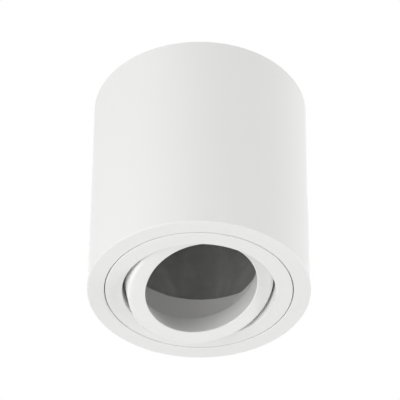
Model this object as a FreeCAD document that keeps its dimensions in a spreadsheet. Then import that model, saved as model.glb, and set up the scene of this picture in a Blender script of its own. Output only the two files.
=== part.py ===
import FreeCAD, Part
import math
import os
from types import SimpleNamespace

import Sketcher

# Surface mounted ceiling spotlight: a plain round can on the ceiling, a trim ring in its
# mouth that pulls out and turns, and a tilting ring that carries the lamp.
# The origin is the middle of the face that meets the ceiling, and the can hangs down along -Z.

# alias, value (mm, degrees or a count), what it is
SIZES = [
    ("can_radius", 40.0, "can, outside radius"),
    ("can_height", 85.0, "can, ceiling to bottom face"),
    ("can_wall", 2.4, "can, side wall"),
    ("can_edge_round", 0.6, "can, round of the bottom outer edge"),
    ("ceiling_edge_round", 0.4, "can, round of the edge at the ceiling"),
    ("recess_depth", 6.0, "recess in the top for the bracket and the supply wires"),
    ("rim_width", 2.5, "rim that meets the ceiling, round the recess"),
    ("roof_thickness", 2.5, "wall across the can under the recess"),
    ("cavity_round", 3.0, "round between the side wall and the roof, inside"),
    ("mouth_radius", 33.85, "mouth of the can, round the trim ring's face"),
    ("collar_radius", 31.5, "collar bore that the grip leaves press on"),
    ("collar_top", 9.0, "top of the collar above the bottom face"),
    ("collar_taper", 4.0, "cone from the collar to the side wall"),
    ("mouth_edge_round", 0.25, "round on each side of the gap round the trim"),
    ("trim_gap", 0.3, "gap round the trim ring's face"),
    ("trim_seat_gap", 0.1, "gap over the trim ring's face"),
    ("trim_face_thickness", 3.0, "trim ring, face flange"),
    ("trim_hole_radius", 27.5, "trim ring, hole that the tilting ring swings in"),
    ("skirt_wall", 2.1, "trim ring, skirt wall"),
    ("skirt_height", 17.6, "trim ring, bottom face to the top of the skirt"),
    ("skirt_edge_chamfer", 0.5, "trim ring, chamfer round the top of the skirt"),
    ("grip_height", 5.8, "grip ring, height of its band"),
    ("grip_thickness", 0.4, "grip ring, spring steel strip"),
    ("grip_end_gap", 0.3, "grip ring, gap to the groove at each end and under the band"),
    ("leaf_gap", 0.3, "grip ring, gap from the leaf crowns to the collar"),
    ("leaf_count", 3.0, "grip ring, number of leaves"),
    ("leaf_angle", 30.0, "grip ring, degrees of the ring that each leaf takes"),
    ("leaf_slit", 2.0, "grip ring, degrees of slit at each side of a leaf"),
    ("leaf_foot", 1.0, "grip ring, band left under and over the leaves"),
    ("leaf_crown", 1.4, "grip ring, height of the flat crown of a leaf"),
    ("grip_split", 8.0, "grip ring, degrees of the split that lets it open"),
    ("pivot_height", 5.6, "tilt axis above the bottom face"),
    ("swing_gap", 0.5, "gap from the corners of the tilting ring to the skirt as it swings"),
    ("front_depth", 5.25, "tilting ring, front face below the tilt axis"),
    ("opening_radius", 20.25, "tilting ring, light opening"),
    ("front_wall", 2.0, "tilting ring, thickness of the front"),
    ("front_edge_round", 1.5, "tilting ring, round of the front outer edge"),
    ("opening_edge_round", 0.4, "tilting ring, round of the opening's edge"),
    ("neck_length", 9.8, "tilting ring, front face to the lamp's seat"),
    ("neck_rear_radius", 22.0, "tilting ring, inside of the neck at the lamp's seat"),
    ("neck_wall", 1.3, "tilting ring, neck wall at the lamp's seat"),
    ("ring_rear_height", 8.2, "tilting ring, rear edge above the tilt axis"),
    ("lamp_radius", 25.0, "rim of the lamp that the ring holds"),
    ("lamp_gap", 0.2, "gap round the lamp's rim"),
    ("clip_height", 7.0, "lamp clip above the tilt axis"),
    ("clip_wire_radius", 0.45, "lamp clip, wire"),
    ("clip_groove_depth", 0.3, "groove for the lamp clip"),
    ("clip_gap", 0.1, "gap from the clip to its groove"),
    ("clip_heading", -90.0, "side that the lamp clip opens to, degrees from +X"),
    ("clip_opening", 24.0, "lamp clip, degrees between its two ears"),
    ("clip_bend_radius", 1.2, "lamp clip, bend of an ear"),
    ("clip_ear_length", 1.4, "lamp clip, straight end of an ear"),
    ("tilt_angle", 16.3, "tilt of the ring as shown, degrees"),
    ("tilt_heading", -50.0, "side that the light is tilted to, degrees from +X"),
    ("pin_radius", 1.5, "pivot pin"),
    ("pin_inner_end", 23.7, "pivot pin, distance of its inner end from the centre"),
    ("pin_end_gap", 0.1, "gap at each end of a pivot pin"),
    ("pin_running_gap", 0.05, "gap round a pivot pin in the tilting ring"),
    ("pin_press_gap", 0.02, "gap round a pivot pin in the skirt"),
    ("boss_half_width", 3.2, "pivot boss, half its width"),
    ("boss_height", 3.0, "pivot boss above the tilt axis"),
    ("boss_overlap", 0.6, "pivot boss, reach into the neck and the outer wall"),
    ("washer_radius", 3.5, "friction washer"),
    ("washer_thickness", 0.95, "friction washer"),
    ("washer_gap", 0.05, "gap beside a friction washer"),
    ("washer_seat_distance", 26.2, "flat for a friction washer, from the centre"),
    ("washer_seat_gap", 0.1, "gap round a friction washer on its flat"),
    ("bracket_length", 68.0, "mounting bracket, end to end"),
    ("bracket_width", 16.0, "mounting bracket"),
    ("bracket_thickness", 1.5, "mounting bracket"),
    ("bracket_hole_radius", 4.5, "mounting bracket, hole in the middle"),
    ("ceiling_slot_spacing", 34.0, "ceiling screw slots, centre to centre"),
    ("ceiling_slot_length", 11.0, "ceiling screw slot, end to end"),
    ("ceiling_slot_width", 4.6, "ceiling screw slot"),
    ("stud_spacing", 54.0, "studs, centre to centre"),
    ("stud_radius", 1.95, "stud"),
    ("stud_length", 18.0, "stud, ceiling to tip"),
    ("stud_head_radius", 3.6, "stud, flush head"),
    ("stud_head_height", 0.8, "stud, flush head"),
    ("stud_tip_chamfer", 0.5, "stud, chamfer of its tip"),
    ("stud_hole_gap", 0.3, "gap round a stud in the roof"),
    ("press_gap", 0.05, "gap round a pressed or threaded fastener"),
    ("cut_past", 1.0, "length that a cut runs past the faces it opens"),
    ("lock_washer_radius", 4.5, "lock washer under a nut"),
    ("lock_washer_thickness", 0.8, "lock washer"),
    ("nut_across_flats", 7.0, "nut, across its flats"),
    ("nut_height", 3.2, "nut"),
    ("cable_from_wall", 17.6, "cable inlet, from the inside of the can's side wall"),
    ("cable_hole_radius", 6.0, "cable inlet, hole in the roof"),
    ("grommet_bore_radius", 4.0, "grommet, bore"),
    ("grommet_lip_radius", 8.0, "grommet, lips"),
    ("grommet_lip_height", 1.5, "grommet, each lip"),
    ("grommet_lip_chamfer", 0.7, "grommet, chamfer of the lips"),
    ("block_from_wall", 17.6, "terminal block, its middle from the inside of the side wall"),
    ("block_length", 28.0, "terminal block, along X"),
    ("block_depth", 15.0, "terminal block, along Y"),
    ("block_height", 13.0, "terminal block"),
    ("pole_pitch", 9.4, "terminal block, pole to pole"),
    ("pole_height", 6.0, "brass tubes above the block's lower face"),
    ("tube_radius", 2.2, "brass tube"),
    ("tube_wall", 0.7, "brass tube"),
    ("tube_length", 12.0, "brass tube"),
    ("wire_screw_offset", 3.6, "clamping screws, from the middle of the block"),
    ("wire_screw_radius", 1.4, "clamping screw"),
    ("wire_screw_length", 4.4, "clamping screw"),
    ("wire_screw_slot", 0.6, "clamping screw, width and depth of its slot"),
    ("screw_well_radius", 2.0, "terminal block, well over a clamping screw"),
    ("rib_groove_width", 1.6, "terminal block, groove between two poles"),
    ("rib_groove_depth", 1.2, "terminal block, groove between two poles"),
    ("block_screw_radius", 1.4, "terminal block screw"),
    ("block_screw_head_radius", 2.6, "terminal block screw, head"),
    ("block_screw_head_height", 2.0, "terminal block screw, head"),
    ("block_head_well", 3.0, "terminal block, depth of the well for a screw head"),
    ("block_screw_gap", 0.1, "terminal block, gap round a block screw and its head"),
    ("screw_past_roof", 0.5, "end of a roof screw above the roof"),
    ("earth_from_wall", 9.4, "earth screw, from the inside of the can's side wall"),
    ("earth_y", -13.0, "earth screw, along Y"),
    ("earth_screw_radius", 1.9, "earth screw"),
    ("earth_head_radius", 4.0, "earth screw, head"),
    ("earth_head_flat", 3.0, "earth screw, radius of the flat on its head"),
    ("earth_head_height", 2.4, "earth screw, head"),
    ("earth_cross_length", 4.4, "earth screw, cross recess"),
    ("earth_cross_width", 0.9, "earth screw, cross recess"),
    ("earth_cross_depth", 1.3, "earth screw, cross recess"),
    ("tag_radius", 4.0, "earth tag, ring"),
    ("tag_thickness", 0.8, "earth tag, sheet"),
    ("tag_neck_width", 3.0, "earth tag, neck"),
    ("tag_barrel_start", 4.6, "earth tag, start of its barrel from the screw"),
    ("tag_barrel_length", 4.5, "earth tag, barrel"),
    ("tag_barrel_wall", 0.5, "earth tag, barrel wall"),
    ("tag_barrel_drop", 0.7, "earth tag, barrel axis below the sheet's middle"),
    ("lead_radius", 1.1, "lead over its insulation"),
    ("conductor_radius", 0.7, "bare conductor"),
    ("conductor_length", 4.5, "bare conductor in a terminal"),
    ("lead_gap", 0.1, "gap round a lead where it enters a piece"),
    ("lead_entry", 2.5, "lead, length inside the lampholder's cover"),
    ("lead_turn_gap", 3.0, "leads, from the can's side wall where they turn down"),
    ("lead_fall", 15.0, "leads, lower turn below the upper one"),
    ("lead_foot_in", 0.4, "leads, lower turn nearer to the middle than the upper one"),
    ("live_foot_x", -8.0, "live lead, lower turn along X"),
    ("neutral_foot_x", 0.6, "neutral lead, lower turn along X"),
    ("lead_arch_height", 0.6, "leads, arch over the lampholder above the block's lower face"),
    ("earth_turn_in", 1.6, "earth lead, first turn nearer to the middle than the other leads'"),
    ("earth_side_x", 9.0, "earth lead, second turn beyond its pole along X"),
    ("earth_side_in", 4.6, "earth lead, second turn nearer to the middle"),
    ("earth_side_rise", 2.0, "earth lead, second turn above the first"),
    ("earth_tag_run", 3.6, "earth lead, run into the barrel of its tag"),
    ("holder_drop", 33.0, "lampholder, its top below the ceiling"),
    ("holder_radius", 12.0, "lampholder"),
    ("holder_body_height", 12.0, "lampholder, body"),
    ("holder_cover_height", 6.0, "lampholder, cover"),
    ("holder_cover_round", 1.5, "lampholder, round of the cover"),
    ("holder_face_thickness", 2.5, "lampholder, wall that the lamp's pins pass through"),
    ("contact_spacing", 10.0, "lamp pins, centre to centre"),
    ("pin_entry_radius", 2.7, "lampholder, entry for a lamp pin's head"),
    ("twist_slot_width", 3.4, "lampholder, slot for a lamp pin's neck"),
    ("twist_angle", 32.0, "lampholder, twist that locks the lamp, degrees"),
    ("chamber_inner", 1.4, "lampholder, contact chamber's inner wall from the middle"),
    ("chamber_outer", 9.0, "lampholder, contact chamber's outer wall from the middle"),
    ("chamber_half_width", 5.5, "lampholder, half a contact chamber's width"),
    ("lead_spacing", 8.0, "lampholder, between the two leads"),
    ("rivet_offset", 8.8, "lampholder rivets, from the middle"),
    ("rivet_radius", 1.1, "lampholder rivet"),
    ("rivet_head_radius", 2.1, "lampholder rivet, head"),
    ("rivet_head_height", 0.8, "lampholder rivet, head"),
    ("contact_width", 4.0, "lampholder contact, strip"),
    ("contact_thickness", 0.5, "lampholder contact, strip"),
    ("contact_wall_gap", 0.2, "gap from a contact to its chamber"),
]


class Size:
    """A length that carries its sheet expression beside its number, so that a sketch can be
    drawn where it belongs and bound to the sheet at once."""

    def __init__(self, text, number):
        self.text = text
        self.number = number

    def joined(self, sign, other, number):
        return Size(f"({self.text} {sign} {other.text})", number)

    def __add__(self, other):
        other = as_size(other)
        return self.joined("+", other, self.number + other.number)

    def __sub__(self, other):
        other = as_size(other)
        return self.joined("-", other, self.number - other.number)

    def __mul__(self, other):
        other = as_size(other)
        return self.joined("*", other, self.number * other.number)

    def __truediv__(self, other):
        other = as_size(other)
        return self.joined("/", other, self.number / other.number)

    def __neg__(self):
        return Size(f"(-1 * {self.text})", -self.number)

    def root(self):
        return Size(f"sqrt({self.text})", math.sqrt(self.number))


def as_size(value):
    """A plain number as a Size; a Size stays as it is."""
    if isinstance(value, Size):
        return value
    return Size(repr(float(value)), float(value))


def fill_sheet(document):
    """Write the sheet of driving sizes and return them by name."""
    sheet = document.addObject("Spreadsheet::Sheet", "Sizes")
    named = {}
    for row, (alias, number, meaning) in enumerate(SIZES, 1):
        sheet.set(f"A{row}", alias)
        sheet.set(f"B{row}", str(number))
        sheet.setAlias(f"B{row}", alias)
        sheet.set(f"C{row}", meaning)
        named[alias] = Size(f"Sizes.{alias}", number)
    document.recompute()
    return SimpleNamespace(**named)


doc = FreeCAD.newDocument("ceiling_spotlight")
d = fill_sheet(doc)
ZERO = as_size(0)

# Heights along Z below the ceiling, shared by the pieces that line up with them.
roof_top = -d.recess_depth
roof_under = roof_top - d.roof_thickness
bottom_face = -d.can_height
pivot_z = bottom_face + d.pivot_height
pole_z = roof_under - d.block_height + d.pole_height
holder_top = -d.holder_drop
holder_joint = holder_top - d.holder_cover_height
holder_face = holder_joint - d.holder_body_height

# Radii that two pieces share.
cavity_radius = d.can_radius - d.can_wall
trim_outer = d.mouth_radius - d.trim_gap
skirt_outer = d.trim_hole_radius + d.skirt_wall
band_inner = skirt_outer - d.grip_thickness
groove_radius = band_inner - d.grip_end_gap
swing_radius = d.trim_hole_radius - d.swing_gap
ring_outer = (swing_radius * swing_radius - d.front_depth * d.front_depth).root()
rear_outer = (swing_radius * swing_radius - d.ring_rear_height * d.ring_rear_height).root()
lamp_wall = d.lamp_radius + d.lamp_gap
neck_outer = d.neck_rear_radius + d.neck_wall
seat_height = d.neck_length - d.front_depth
groove_top = d.trim_face_thickness + d.grip_height + d.grip_end_gap * 2

# The cable inlet, the terminal block and the earth screw keep their distance from the side
# wall. The inlet is towards +Y and the block towards -Y.
cable_offset = cavity_radius - d.cable_from_wall
block_offset = cavity_radius - d.block_from_wall
earth_distance = cavity_radius - d.earth_from_wall
earth_x = (earth_distance * earth_distance - d.earth_y * d.earth_y).root()

# The pivot pins lie across the side that the light is tilted to.
trim_turn = d.tilt_heading.number + 90.0

# How much of a lead's run an arc may use: nearly all of an end run, or just under half of a
# run between two arcs.
END_RUN_SHARE = 0.9
MIDDLE_RUN_SHARE = 0.45


# ---------------------------------------------------------------- building blocks


def bind(thing, prop, size):
    """Set a property of an object and bind it to the sheet."""
    thing.setExpression(prop, as_size(size).text)


def new_body(label, x=ZERO, y=ZERO, z=ZERO, many=False):
    """An empty body whose own origin lies at (x, y, z)."""
    body = doc.addObject("PartDesign::Body", label)
    body.Label = label
    body.AllowCompound = many
    for axis, size in (("x", x), ("y", y), ("z", z)):
        bind(body, f"Placement.Base.{axis}", size)
    return body


def turn(body, yaw, roll=0.0):
    """Turn a body about its own X axis by roll and then about Z by yaw, in degrees."""
    body.Placement = FreeCAD.Placement(body.Placement.Base, FreeCAD.Rotation(yaw, 0, roll))


def origin_feature(body, role):
    """One of the body's own planes or axes."""
    return next(part for part in body.Origin.OriginFeatures if part.Role == role)


def new_sketch(body, role, offset=None):
    """A sketch on one of the body's own planes, lifted along the plane's normal."""
    sketch = body.newObject("Sketcher::SketchObject", "Sketch")
    sketch.AttachmentSupport = [(origin_feature(body, role), "")]
    sketch.MapMode = "FlatFace"
    if offset is not None:
        bind(sketch, "AttachmentOffset.Base.z", offset)
    return sketch


def hold(sketch, curve, point, x, y):
    """Hold one point of a curve at (x, y), each bound to the sheet."""
    for kind, size, axis in (("DistanceX", x, -2), ("DistanceY", y, -1)):
        if size is ZERO:
            sketch.addConstraint(Sketcher.Constraint("PointOnObject", curve, point, axis))
            continue
        row = sketch.addConstraint(Sketcher.Constraint(kind, -1, 1, curve, point, size.number))
        sketch.setExpression(f"Constraints[{row}]", size.text)


def outline(sketch, points):
    """A closed chain of straight lines with each corner held at its own place."""
    points = [(as_size(x), as_size(y)) for x, y in points]
    corners = [FreeCAD.Vector(x.number, y.number, 0) for x, y in points]
    count = len(corners)
    first = sketch.GeometryCount
    for index in range(count):
        sketch.addGeometry(Part.LineSegment(corners[index], corners[(index + 1) % count]))
    for index, (x, y) in enumerate(points):
        hold(sketch, first + index, 1, x, y)
        before = first + (index - 1) % count
        sketch.addConstraint(Sketcher.Constraint("Coincident", before, 2, first + index, 1))
    return sketch


def rectangle(sketch, low_x, low_y, high_x, high_y):
    """An upright rectangle between two corners."""
    return outline(sketch, [(low_x, low_y), (high_x, low_y), (high_x, high_y), (low_x, high_y)])


def circle(sketch, x, y, radius):
    """A circle held at (x, y)."""
    centre = FreeCAD.Vector(x.number, y.number, 0)
    row = sketch.addGeometry(Part.Circle(centre, FreeCAD.Vector(0, 0, 1), radius.number))
    hold(sketch, row, 3, x, y)
    rule = sketch.addConstraint(Sketcher.Constraint("Radius", row, radius.number))
    sketch.setExpression(f"Constraints[{rule}]", radius.text)
    return sketch


def slot(sketch, x, length, width):
    """A slot along X with round ends, its middle at (x, 0)."""
    radius = width / 2
    reach = length / 2 - radius
    up = FreeCAD.Vector(0, 0, 1)
    quarter = math.pi / 2
    ends = []
    for side, start in ((1, -quarter), (-1, quarter)):
        middle = x + reach * side
        round_end = Part.Circle(FreeCAD.Vector(middle.number, 0, 0), up, radius.number)
        row = sketch.addGeometry(Part.ArcOfCircle(round_end, start, start + math.pi))
        hold(sketch, row, 3, middle, ZERO)
        rule = sketch.addConstraint(Sketcher.Constraint("Radius", row, radius.number))
        sketch.setExpression(f"Constraints[{rule}]", radius.text)
        ends.append((row, middle))
    (right, right_x), (left, left_x) = ends
    for y, start, finish in ((radius, (right, 2), (left, 1)), (-radius, (left, 2), (right, 1))):
        from_x = right_x if start[0] == right else left_x
        to_x = left_x if start[0] == right else right_x
        low = FreeCAD.Vector(from_x.number, y.number, 0)
        high = FreeCAD.Vector(to_x.number, y.number, 0)
        row = sketch.addGeometry(Part.LineSegment(low, high))
        sketch.addConstraint(Sketcher.Constraint("Tangent", *start, row, 1))
        sketch.addConstraint(Sketcher.Constraint("Tangent", row, 2, *finish))
    return sketch


def pad(body, sketch, length, both_ways=False):
    """Raise a sketch into a solid along its normal, or to both sides by half each."""
    feature = body.newObject("PartDesign::Pad", "Pad")
    feature.Profile = sketch
    feature.SideType = "Symmetric" if both_ways else "One side"
    bind(feature, "Length", length)
    doc.recompute()
    return feature


def pocket(body, sketch, length=None, forward=True, both_ways=False):
    """Cut a sketch out of the body: through everything, or to a depth. The cut runs along the
    sketch's normal, or against it, and has to take something away."""
    before = body.Shape.Volume
    feature = body.newObject("PartDesign::Pocket", "Pocket")
    feature.Profile = sketch
    feature.Reversed = forward
    feature.SideType = "Symmetric" if both_ways else "One side"
    if length is None:
        feature.Type = "ThroughAll"
    else:
        bind(feature, "Length", length)
    doc.recompute()
    if feature.Shape.Volume >= before:
        raise ValueError(f"a pocket in {body.Label} cuts nothing")
    return feature


def revolve(body, sketch, angle=None, axis="V_Axis", kind="PartDesign::Revolution"):
    """Turn a sketch about its vertical axis or another: a full turn, or an angle to both
    sides of the sketch."""
    feature = body.newObject(kind, "Revolve")
    feature.Profile = sketch
    feature.ReferenceAxis = (sketch, [axis])
    if angle is not None:
        feature.Midplane = True
        bind(feature, "Angle", angle)
    doc.recompute()
    return feature


def groove(body, sketch, angle=None):
    """Cut a turned sketch out of the body; it has to take something away."""
    before = body.Shape.Volume
    feature = revolve(body, sketch, angle, kind="PartDesign::Groove")
    if feature.Shape.Volume >= before:
        raise ValueError(f"a groove in {body.Label} cuts nothing")
    return feature


def polar(body, features, count=2):
    """Repeat features evenly round the body's own Z axis."""
    pattern = body.newObject("PartDesign::PolarPattern", "Round")
    pattern.Originals = features
    pattern.Axis = (origin_feature(body, "Z_Axis"), [""])
    pattern.Angle = 360
    bind(pattern, "Occurrences", count)
    body.Tip = pattern
    doc.recompute()
    return pattern


def row_of_poles(body, features):
    """Repeat features at the three poles of the terminal block, along X."""
    pattern = body.newObject("PartDesign::LinearPattern", "Row")
    pattern.Originals = features
    pattern.Direction = (origin_feature(body, "X_Axis"), [""])
    bind(pattern, "Length", d.pole_pitch * 2)
    pattern.Occurrences = 3
    body.Tip = pattern
    doc.recompute()
    return pattern


def ring_edges(body, radius, height):
    """Names of the body's round edges of one radius about its own axis at one height."""
    names = []
    for number, edge in enumerate(body.Tip.Shape.Edges, 1):
        curve = edge.Curve
        if not isinstance(curve, Part.Circle):
            continue
        centre = curve.Center
        if abs(curve.Radius - radius.number) + abs(centre.z - height.number) > 0.001:
            continue
        if math.hypot(centre.x, centre.y) < 0.001:
            names.append(f"Edge{number}")
    if not names:
        raise ValueError(f"{body.Label} has no edge of radius {radius.number}")
    return names


def soften(body, radius, height, amount, kind="Fillet"):
    """Round or chamfer the round edges of one radius at one height."""
    names = ring_edges(body, radius, height)
    base = body.Tip
    feature = body.newObject(f"PartDesign::{kind}", kind)
    feature.Base = (base, names)
    bind(feature, "Radius" if kind == "Fillet" else "Size", amount)
    body.Tip = feature
    doc.recompute()
    return feature


def axis_line(sketch, x):
    """A construction line upright at x, for a fastener's own axis."""
    foot = FreeCAD.Vector(x.number, 0, 0)
    tip = FreeCAD.Vector(x.number, 1, 0)
    row = sketch.addGeometry(Part.LineSegment(foot, tip), True)
    hold(sketch, row, 1, x, ZERO)
    sketch.addConstraint(Sketcher.Constraint("Vertical", row))
    length = sketch.addConstraint(Sketcher.Constraint("DistanceY", row, 1, row, 2, 1.0))
    sketch.setExpression(f"Constraints[{length}]", "1")


def turned_fasteners(body, role, x, steps):
    """Two fasteners turned from a stepped profile about an upright line at x, on opposite
    sides of the body's axis. Each step is (radius, height)."""
    sketch = new_sketch(body, role)
    points = [(x, steps[0][1])]
    points += [(x + radius, height) for radius, height in steps]
    points.append((x, steps[-1][1]))
    outline(sketch, points)
    axis_line(sketch, x)
    polar(body, [revolve(body, sketch, axis="Axis0")])


# ---------------------------------------------------------------- can and its fixing


def make_housing_can():
    """The can: side wall, recessed roof with its holes, and a collar round the mouth."""
    can = new_body("housing_can", z=bottom_face)
    under = d.can_height + roof_under
    top = d.can_height + roof_top
    rim = d.can_radius - d.rim_width
    seat = d.trim_face_thickness + d.trim_seat_gap
    outline(new_sketch(can, "XZ_Plane"), [
        (d.mouth_radius, ZERO), (d.can_radius, ZERO), (d.can_radius, d.can_height),
        (rim, d.can_height), (rim, top), (ZERO, top), (ZERO, under), (cavity_radius, under),
        (cavity_radius, d.collar_top + d.collar_taper), (d.collar_radius, d.collar_top),
        (d.collar_radius, seat), (d.mouth_radius, seat),
    ])
    revolve(can, can.Group[-1])
    soften(can, cavity_radius, under, d.cavity_round)
    soften(can, d.can_radius, ZERO, d.can_edge_round)
    soften(can, d.mouth_radius, ZERO, d.mouth_edge_round)
    soften(can, d.can_radius, d.can_height, d.ceiling_edge_round)
    holes = new_sketch(can, "XY_Plane")
    circle(holes, ZERO, cable_offset, d.cable_hole_radius)
    circle(holes, earth_x, d.earth_y, d.earth_screw_radius + d.press_gap)
    for side in (-1, 1):
        circle(holes, d.stud_spacing / 2 * side, ZERO, d.stud_radius + d.stud_hole_gap)
        block_screw_x = d.pole_pitch / 2 * side
        circle(holes, block_screw_x, -block_offset, d.block_screw_radius + d.press_gap)
    pocket(can, holes)
    return can


def make_mounting_bracket():
    """A steel strip that is screwed to the ceiling through its two slots."""
    bracket = new_body("mounting_bracket", z=-d.bracket_thickness)
    strip = slot(new_sketch(bracket, "XY_Plane"), ZERO, d.bracket_length, d.bracket_width)
    pad(bracket, strip, d.bracket_thickness)
    pocket(bracket, circle(new_sketch(bracket, "XY_Plane"), ZERO, ZERO, d.bracket_hole_radius))
    screw_slot = new_sketch(bracket, "XY_Plane")
    slot(screw_slot, d.ceiling_slot_spacing / 2, d.ceiling_slot_length, d.ceiling_slot_width)
    stud_x = d.stud_spacing / 2
    stud_hole = circle(new_sketch(bracket, "XY_Plane"), stud_x, ZERO, d.stud_radius + d.press_gap)
    head_bed = new_sketch(bracket, "XY_Plane", d.bracket_thickness - d.stud_head_height)
    circle(head_bed, stud_x, ZERO, d.stud_head_radius + d.press_gap)
    polar(bracket, [pocket(bracket, cut) for cut in (screw_slot, stud_hole, head_bed)])
    return bracket


def make_mounting_studs():
    """Two studs pressed into the bracket, whose heads lie flush with its top."""
    studs = new_body("mounting_studs", z=-d.stud_length, many=True)
    chamfer = d.stud_tip_chamfer
    shoulder = d.stud_length - d.stud_head_height
    turned_fasteners(studs, "XZ_Plane", d.stud_spacing / 2, [
        (d.stud_radius - chamfer, ZERO), (d.stud_radius, chamfer), (d.stud_radius, shoulder),
        (d.stud_head_radius, shoulder), (d.stud_head_radius, d.stud_length),
    ])
    return studs


def make_stud_washers():
    """Lock washers on the studs, under the roof."""
    washers = new_body("stud_washers", z=roof_under - d.lock_washer_thickness, many=True)
    face = circle(new_sketch(washers, "XY_Plane"), d.stud_spacing / 2, ZERO, d.lock_washer_radius)
    circle(face, d.stud_spacing / 2, ZERO, d.stud_radius + d.stud_hole_gap)
    polar(washers, [pad(washers, face, d.lock_washer_thickness)])
    return washers


def make_stud_nuts():
    """Hexagon nuts that hold the can up on the studs."""
    nut_top = roof_under - d.lock_washer_thickness
    nuts = new_body("stud_nuts", z=nut_top - d.nut_height, many=True)
    half = d.nut_across_flats / 2
    corner = d.nut_across_flats / math.sqrt(3)
    x = d.stud_spacing / 2
    face = outline(new_sketch(nuts, "XY_Plane"), [
        (x + half, corner / 2), (x, corner), (x - half, corner / 2),
        (x - half, -corner / 2), (x, -corner), (x + half, -corner / 2),
    ])
    circle(face, x, ZERO, d.stud_radius + d.press_gap)
    polar(nuts, [pad(nuts, face, d.nut_height)])
    return nuts


def make_cable_grommet():
    """A rubber grommet in the roof, where the supply cable comes in from the ceiling."""
    lip = d.grommet_lip_height
    grommet = new_body("cable_grommet", y=cable_offset, z=roof_under - lip)
    neck = d.cable_hole_radius - d.press_gap
    upper = lip + d.roof_thickness
    height = upper + lip
    cut = d.grommet_lip_chamfer
    lip_flat = d.grommet_lip_radius - cut
    outline(new_sketch(grommet, "XZ_Plane"), [
        (d.grommet_bore_radius, ZERO), (lip_flat, ZERO), (d.grommet_lip_radius, cut),
        (d.grommet_lip_radius, lip), (neck, lip), (neck, upper), (d.grommet_lip_radius, upper),
        (d.grommet_lip_radius, height - cut), (lip_flat, height), (d.grommet_bore_radius, height),
    ])
    revolve(grommet, grommet.Group[-1])
    return grommet


# ---------------------------------------------------------------- terminals and earth


def block_body(label, z, many=False):
    """A body on the terminal block's own upright axis."""
    return new_body(label, y=-block_offset, z=z, many=many)


def make_terminal_block():
    """Three-pole block of glazed ceramic, with a wire hole and two screw wells at each pole."""
    block = block_body("terminal_block", roof_under - d.block_height)
    half_length = d.block_length / 2
    half_depth = d.block_depth / 2
    plan = rectangle(new_sketch(block, "XY_Plane"), -half_length, -half_depth, half_length, half_depth)
    pad(block, plan, d.block_height)
    wire_hole = circle(new_sketch(block, "XZ_Plane"), -d.pole_pitch, d.pole_height,
                       d.tube_radius + d.press_gap)
    wells = new_sketch(block, "XY_Plane")
    for side in (-1, 1):
        circle(wells, -d.pole_pitch, d.wire_screw_offset * side, d.screw_well_radius)
    cuts = [pocket(block, wire_hole, both_ways=True), pocket(block, wells, d.pole_height)]
    row_of_poles(block, cuts)
    holes = new_sketch(block, "XY_Plane")
    head_wells = new_sketch(block, "XY_Plane")
    for side in (-1, 1):
        x = d.pole_pitch / 2 * side
        circle(holes, x, ZERO, d.block_screw_radius + d.block_screw_gap)
        circle(head_wells, x, ZERO, d.block_screw_head_radius + d.block_screw_gap)
    pocket(block, holes)
    pocket(block, head_wells, d.block_head_well)
    ribs = new_sketch(block, "XY_Plane")
    half_groove = d.rib_groove_width / 2
    for side in (-1, 1):
        x = d.pole_pitch / 2 * side
        for face in (-1, 1):
            outer = half_depth * face
            inner = outer - d.rib_groove_depth * face
            rectangle(ribs, x - half_groove, inner, x + half_groove, outer)
    pocket(block, ribs)
    return block


def make_terminal_tubes():
    """Brass tubes that clamp the wires, one at each pole."""
    tubes = block_body("terminal_tubes", pole_z, many=True)
    ring = circle(new_sketch(tubes, "XZ_Plane"), -d.pole_pitch, ZERO, d.tube_radius)
    circle(ring, -d.pole_pitch, ZERO, d.tube_radius - d.tube_wall)
    barrel = pad(tubes, ring, d.tube_length, both_ways=True)
    holes = new_sketch(tubes, "XY_Plane")
    for side in (-1, 1):
        place = d.wire_screw_offset * side
        circle(holes, -d.pole_pitch, place, d.wire_screw_radius + d.press_gap)
    row_of_poles(tubes, [barrel, pocket(tubes, holes, d.tube_radius, forward=False)])
    return tubes


def make_terminal_screws():
    """Slotted clamping screws, two at each pole, with their tips on the wire."""
    tip_z = pole_z - d.conductor_radius
    screws = block_body("terminal_screws", tip_z - d.wire_screw_length, many=True)
    shanks = new_sketch(screws, "XY_Plane")
    slots = new_sketch(screws, "XY_Plane")
    half_slot = d.wire_screw_slot / 2
    for side in (-1, 1):
        place = d.wire_screw_offset * side
        circle(shanks, -d.pole_pitch, place, d.wire_screw_radius)
        reach = d.wire_screw_radius + d.cut_past
        rectangle(slots, -d.pole_pitch - reach, place - half_slot,
                  -d.pole_pitch + reach, place + half_slot)
    shank = pad(screws, shanks, d.wire_screw_length)
    row_of_poles(screws, [shank, pocket(screws, slots, d.wire_screw_slot)])
    return screws


def make_terminal_block_screws():
    """Two screws that hold the block up against the roof."""
    head_seat = d.block_head_well
    low = head_seat - d.block_screw_head_height
    screws = block_body("terminal_block_screws", roof_under - d.block_height, many=True)
    tip = d.block_height + d.roof_thickness + d.screw_past_roof
    turned_fasteners(screws, "XZ_Plane", d.pole_pitch / 2, [
        (d.block_screw_head_radius, low), (d.block_screw_head_radius, head_seat),
        (d.block_screw_radius, head_seat), (d.block_screw_radius, tip),
    ])
    return screws


def make_earth_washer():
    """Lock washer between the earth tag and the roof."""
    z = roof_under - d.lock_washer_thickness
    washer = new_body("earth_washer", earth_x, d.earth_y, z)
    face = circle(new_sketch(washer, "XY_Plane"), ZERO, ZERO, d.tag_radius)
    circle(face, ZERO, ZERO, d.earth_screw_radius + d.stud_hole_gap)
    pad(washer, face, d.lock_washer_thickness)
    return washer


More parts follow.
